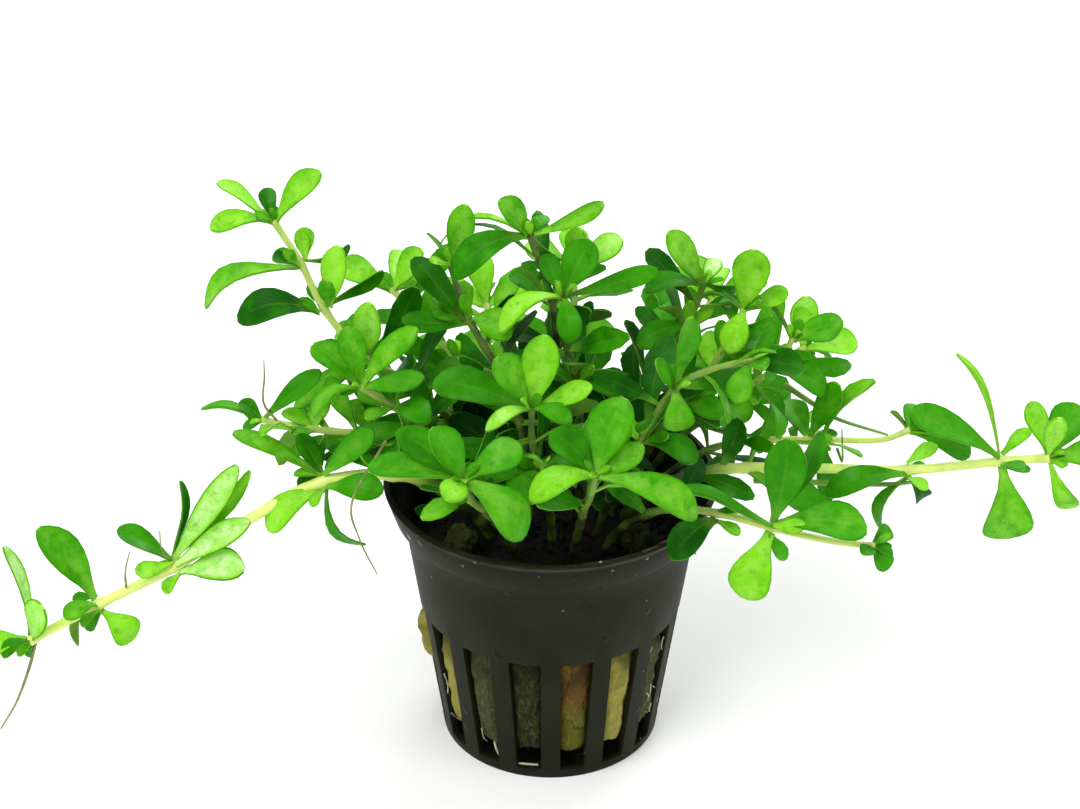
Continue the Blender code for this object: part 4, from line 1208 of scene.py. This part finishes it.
def leaf_copy(master, points, tone):
    """A copy of a leaf master with its own mesh, moved to the given points and given its painted light and
    tone.
    """
    [copy] = copies(master, [Matrix()])
    verts = copy.data.vertices
    paint(copy, "underside", [1.0 if vert.co.z < -0.5 else 0.0 for vert in verts])
    paint(copy, "tone", [tone] * len(verts))
    verts.foreach_set("co", [number for point in points for number in point])
    copy.data.update()
    return copy


class Crowd:
    """What is placed so far, so that a new small leaf keeps clear of it."""

    def __init__(self):
        self.shapes = []

    def add(self, points, faces):
        self.shapes.append((BVHTree.FromPolygons(points, faces), *corners(points)))

    def touches(self, points, faces):
        tree = BVHTree.FromPolygons(points, faces)
        low, high = corners(points)
        for other, other_low, other_high in self.shapes:
            apart = any(low[i] > other_high[i] or high[i] < other_low[i] for i in range(3))
            if not apart and tree.overlap(other):
                return True
        return False


def corners(points):
    """Lowest and highest corner of the box round some points."""
    return [Vector([pick_one(p[i] for p in points) for i in range(3)]) for pick_one in (min, max)]


def polygons(obj):
    return [v.co.copy() for v in obj.data.vertices], [tuple(f.vertices) for f in obj.data.polygons]


def leaf_seat(shoot, index):
    """Where a node's leaves are seated: its centre, its direction and how far out."""
    node, along = spline_point(shoot["path"], index)
    radius = stem_radius(shoot, index)
    if index == len(shoot["path"]) - 1:
        return node + along * (GAP + BUD_LENGTH * 0.3), along, radius * 0.4
    if index in shoot["leaves"]:
        return node, along, radius + (GAP + COLLAR_WALL) / 2
    return node, along, radius / 2


def lean_out(along, side, angle, spread):
    """A direction that leans out from a stem at an angle about it, and the way it leans."""
    outward = Quaternion(along, angle) @ side
    return along * cos(spread) + outward * sin(spread), outward


def swung(reach, along, out, turn, lift):
    """Start and reach of a leaf from its seat's centre, turned about the stem and lifted to its tip."""
    turned = Quaternion(along, radians(turn)) @ reach
    hinge = turned.cross(along).normalized()
    turned = Quaternion(hinge, radians(lift)) @ turned
    outward = (turned - along * turned.dot(along)).normalized() * out
    return outward, turned - outward


def cad_tips(node):
    """A tree of the corners of a CAD node, to find which way each of its leaves lies."""
    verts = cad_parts[node].data.vertices
    tree = KDTree(len(verts))
    for index, vert in enumerate(verts):
        tree.insert(vert.co, index)
    tree.balance()
    return tree


def named_leaves(shoot, index, specs, tree):
    """Base, reach, width, roll, and painted light and tone of each leaf of a node, laid as its CAD node has
    it.
    """
    centre, along, out = leaf_seat(shoot, index)
    found = []
    for reach, width, roll, tone in specs:
        def miss(swing):
            outward, rest = swung(reach, along, out, *swing)
            return tree.find(centre + outward + rest)[2]

        outward, rest = swung(reach, along, out, *min(SWINGS, key=miss))
        found.append((centre + outward * 0.7, rest + outward * 0.3, width, roll, tone))
    return found


def bud_leaves(shoot, index, vary, count, size):
    """Young leaves that stand up round a node or a tip."""
    centre, along, out = leaf_seat(shoot, index)
    side = along.orthogonal().normalized()
    start = vary(0, 6)
    found = []
    for k in range(count):
        angle = start + 2 * pi * k / count + vary(-0.3, 0.3)
        direction, outward = lean_out(along, side, angle, radians(vary(*BUD_SPREADS)))
        length = size * vary(0.75, 1.25)
        base = centre + outward * out * 0.8
        found.append((base, direction * length, length * vary(0.42, 0.55), vary(-0.4, 0.4)))
    return found


def leaf_light_and_tone(place, vary):
    """How bright a leaf is painted: painted shade deep inside the plant, painted light at its outside and
    top, with some tone at random.
    """
    outward = min(1.3, hypot(place.x, place.y * 1.4) / (42 * MM))
    height = (place.z - 46 * MM) / (44 * MM)
    return min(1.0, max(0.0, 0.12 + 0.38 * outward + 0.54 * height + vary(-0.24, 0.26)))


def build_leaves(settings, masters, crowd, surface):
    """The named leaves of every shoot, each where its CAD node has it, with young leaves in their midst."""
    shown = []
    full, full_flat, full_faces = masters["full"]
    plain, plain_flat, _ = masters["plain"]
    for name, shoot in SHOOTS.items():
        last = len(shoot["path"]) - 1
        stem_tree = cad_tips(f"stem_{name}")
        groups = [(index, specs, True) for index, specs in shoot["leaves"].items()]
        groups += [(index, specs, False) for index, specs in shoot["grown"].items()]
        shoot["grown_pieces"] = []
        for index, specs, own_piece in groups:
            vary = random.Random(f"{name} {index}").uniform
            node = f"tip_{name}" if index == last else f"leaves_{name}_{index}"
            tree = cad_tips(node) if own_piece else stem_tree
            made = []
            for base, reach, width, roll, tone in named_leaves(shoot, index, specs, tree):
                form = random_form(vary, 0.5)
                droop = min(0.35, max(0.0, 0.25 - reach.normalized().z))
                form["arch"] += 0.55 * droop + max(0.0, -roll) * 0.7
                points = bent_points(full_flat, base, reach, width * 1.04, roll, form, settings.thickness)
                tone = leaf_light_and_tone(base + reach, vary) if tone is None else tone + vary(-0.04, 0.04)
                made.append(leaf_copy(full, points, tone))
                shown.append((points, full_faces))
            count, size = TIP_BUDS if index == last else NODE_BUDS
            for bud in bud_leaves(shoot, index, vary, count, size):
                points = bent_points(plain_flat, *bud, random_form(vary), settings.thickness * 0.8)
                made.append(leaf_copy(plain, points, 0.62 + vary(-0.3, 0.3)))
            if own_piece:
                hand_over(joined(made), f"{name}_leaves_{index}", surface, [node], 55)
            else:
                shoot["grown_pieces"] += made
    for points, faces in shown:
        crowd.add(points, faces)
    return shown


def covers(points, shown, mouth):
    """Whether a small leaf would stand before a named leaf or the front of the pot's mouth."""
    hits = 0
    for sample in points[::max(1, len(points) // 8)]:
        away = (sample - CAMERA_PLACE).normalized()
        if away.angle(DARK_GAP - CAMERA_PLACE) < DARK_GAP_ANGLE:
            return True
        start = sample + away * 0.4 * MM
        if shown.ray_cast(start, away, LEAF_SIGHT)[0] is not None:
            hits += 1
            continue
        place = mouth.ray_cast(start, away, MOUTH_SIGHT)[0]
        if place is not None and place.y < 1 * MM:
            return True
    return hits >= 3


def gathered_tree(shapes):
    """One search tree of several shapes."""
    points, faces = [], []
    for more_points, more_faces in shapes:
        faces += [tuple(i + len(points) for i in face) for face in more_faces]
        points += more_points
    return BVHTree.FromPolygons(points, faces)


def build_small_leaves(settings, masters, crowd, shown, surface):
    """Pairs of small leaves, each pair a quarter turn from the last, that fill the plant inside."""
    plain, flat, faces = masters["plain"]
    outer = [face for face in faces if min(flat[i].y for i in face) > 0.2]
    named_tree = gathered_tree(shown)
    mouth_tree = gathered_tree([polygons(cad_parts[name]) for name in MOUTH_NODES])
    low, high = [Vector(corner) for corner in CAD_BOX]
    thickness = settings.thickness * 0.9

    def fits(laid):
        least, most = corners(laid)
        inside = all(low[i] <= least[i] and most[i] <= high[i] for i in range(3))
        clear = inside and least.z >= SMALL_LEAF_FLOOR and not crowd.touches(laid, outer)
        return clear and not covers(laid, named_tree, mouth_tree)

    for name, shoot in SHOOTS.items():
        vary = random.Random(f"{name} small leaves").uniform
        made = shoot.pop("grown_pieces")
        turn = vary(0, 6)
        for position in stem_nodes(name, shoot, settings.internode):
            centre, along = spline_point(shoot["path"], position)
            radius = stem_radius(shoot, position)
            side = along.orthogonal().normalized()
            turn += pi / 2 + vary(-0.2, 0.2)
            for half in (0, pi):
                for attempt in range(TRIES):
                    angle = turn + half + (0 if attempt == 0 else vary(-0.9, 0.9))
                    direction, outward = lean_out(along, side, angle, radians(vary(*SMALL_LEAF_SPREADS)))
                    length = vary(*SMALL_LEAF_LENGTHS) * MM * max(0.55, 1.08 - 0.05 * attempt)
                    width = length * vary(*SMALL_LEAF_WIDTHS)
                    base = centre + outward * radius * 0.6
                    form = random_form(vary, 1.2)
                    roll = vary(-1.3, 1.3)
                    laid = bent_points(flat, base, direction * length, width, roll, form, thickness)
                    if fits(laid):
                        crowd.add(laid, faces)
                        tip = base + direction * length
                        # Painted shade: the deeper inside the plant, the darker a small leaf.
                        inside = max(0.0, 1 - hypot(tip.x, tip.y * 1.3) / (46 * MM))
                        tone = leaf_light_and_tone(tip, vary) * 0.85 - 0.5 * inside - 0.1
                        made.append(leaf_copy(plain, laid, tone))
                        break
        if made:
            hand_over(joined(made), f"{name}_small_leaves", surface, [f"stem_{name}"], 55)


def build_roots(fresh):
    """Thin aerial roots, and the bare green stalks at the right, at the plant's edge."""
    dry = root_skin("root_brown", 500, 4, ((96, 112, 50), (150, 152, 92)), (0.5, 0.3), (0.4, 0.0002))
    for name, radius, route in ROOTS:
        root = tube([Vector(p) * MM for p in route], lambda share: radius * MM * (1 - 0.6 * share), 1)
        paint(root, "age", [STALK_AGE] * len(root.data.vertices))
        hand_over(root, f"root_{name}", fresh if name.startswith("right") else dry)


def build_stage(settings):
    """A pale floor, soft light all round and from three panels, and the camera."""
    start_clean()
    bpy.ops.mesh.primitive_plane_add(size=settings.floor)
    floor = bpy.context.object
    floor.name = "floor"
    floor.data.materials.append(floor_white())
    world = bpy.data.worlds.new("soft_room")
    world.use_nodes = True
    sky = world.node_tree.nodes["Background"].inputs
    sky["Color"].default_value = (1, 1, 1, 1)
    sky["Strength"].default_value = settings.world
    bpy.context.scene.world = world
    for name, place, size, share in LIGHTS:
        bpy.ops.object.light_add(type="AREA", location=place)
        light = bpy.context.object
        light.name = name
        light.data.size = size
        light.data.energy = settings.key * share
        light.rotation_euler = (Vector((0, 0, 0.05)) - Vector(place)).to_track_quat("-Z", "Y").to_euler()
    bpy.ops.object.camera_add(location=CAMERA_PLACE, rotation=(pi / 2 - CAMERA_TILT, 0, 0))
    camera = bpy.context.object
    camera.data.lens = LENS
    camera.data.sensor_width = SENSOR_WIDTH
    camera.data.clip_start = 0.01
    bpy.context.scene.camera = camera
    bpy.context.scene.view_settings.view_transform = "Standard"


class HYSSOP_OT_pot(Operator):
    """Models the slotted black net pot"""
    bl_idname = "hyssop.pot"
    bl_label = "Net pot"

    def execute(self, context):
        build_pot(context.scene.hyssop_pot)
        return {"FINISHED"}


class HYSSOP_OT_wool(Operator):
    """Models the wool block, its lumps and the pale roots behind the slots"""
    bl_idname = "hyssop.wool"
    bl_label = "Mineral wool"

    def execute(self, context):
        settings = context.scene.hyssop_filling
        build_wool(settings)
        build_lumps(settings)
        build_pale_roots()
        return {"FINISHED"}


class HYSSOP_OT_soil(Operator):
    """Models the dark soil layer"""
    bl_idname = "hyssop.soil"
    bl_label = "Soil"

    def execute(self, context):
        build_soil(context.scene.hyssop_filling)
        return {"FINISHED"}


class HYSSOP_OT_plant(Operator):
    """Models the stems, their leaves and the aerial roots"""
    bl_idname = "hyssop.plant"
    bl_label = "Shoots"

    def execute(self, context):
        settings = context.scene.hyssop_plant
        crowd = Crowd()
        stem_surface = stem_green(settings)
        leaf_surface = leaf_green(settings)
        for name, shoot in SHOOTS.items():
            crowd.add(*polygons(build_stem(name, shoot, stem_surface, settings)))
        for name in MOUTH_NODES:
            crowd.add(*polygons(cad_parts[name]))
        masters = {}
        for kind, columns, outline in (("full", 6, FULL_OUTLINE), ("plain", 2, PLAIN_OUTLINE)):
            master = leaf_master(kind, columns, outline)
            masters[kind] = (master, *polygons(master))
        shown = build_leaves(settings, masters, crowd, leaf_surface)
        build_small_leaves(settings, masters, crowd, shown, leaf_surface)
        for master, _, _ in masters.values():
            remove(master)
        build_roots(stem_surface)
        return {"FINISHED"}


class HYSSOP_OT_stage(Operator):
    """Sets the floor, the lights and the camera"""
    bl_idname = "hyssop.stage"
    bl_label = "Stage"

    def execute(self, context):
        build_stage(context.scene.hyssop_stage)
        return {"FINISHED"}


class HYSSOP_PT_panel(Panel):
    """Lists the pieces of the potted plant"""
    bl_idname = "HYSSOP_PT_panel"
    bl_label = "Potted water hyssop"
    bl_space_type = "VIEW_3D"
    bl_region_type = "UI"
    bl_category = "Hyssop"

    def draw(self, context):
        for name, (settings, *operators) in GROUPS.items():
            box = self.layout.box()
            for key in settings.__annotations__:
                box.prop(getattr(context.scene, name), key)
            for operator in operators:
                box.operator(operator.bl_idname)


# Each group of settings with the operators that read it.
GROUPS = {
    "hyssop_stage": (HYSSOP_PG_stage, HYSSOP_OT_stage),
    "hyssop_pot": (HYSSOP_PG_pot, HYSSOP_OT_pot),
    "hyssop_filling": (HYSSOP_PG_filling, HYSSOP_OT_wool, HYSSOP_OT_soil),
    "hyssop_plant": (HYSSOP_PG_plant, HYSSOP_OT_plant),
}
CLASSES = [cls for group in GROUPS.values() for cls in group] + [HYSSOP_PT_panel]


def register():
    for cls in CLASSES:
        bpy.utils.register_class(cls)
    for name, (settings, *_) in GROUPS.items():
        setattr(bpy.types.Scene, name, PointerProperty(type=settings))


def unregister():
    for name in GROUPS:
        delattr(bpy.types.Scene, name)
    for cls in reversed(CLASSES):
        bpy.utils.unregister_class(cls)


def main():
    register()
    bpy.ops.hyssop.stage()
    bpy.ops.hyssop.pot()
    bpy.ops.hyssop.wool()
    bpy.ops.hyssop.soil()
    bpy.ops.hyssop.plant()


if __name__ == "__main__":
    main()
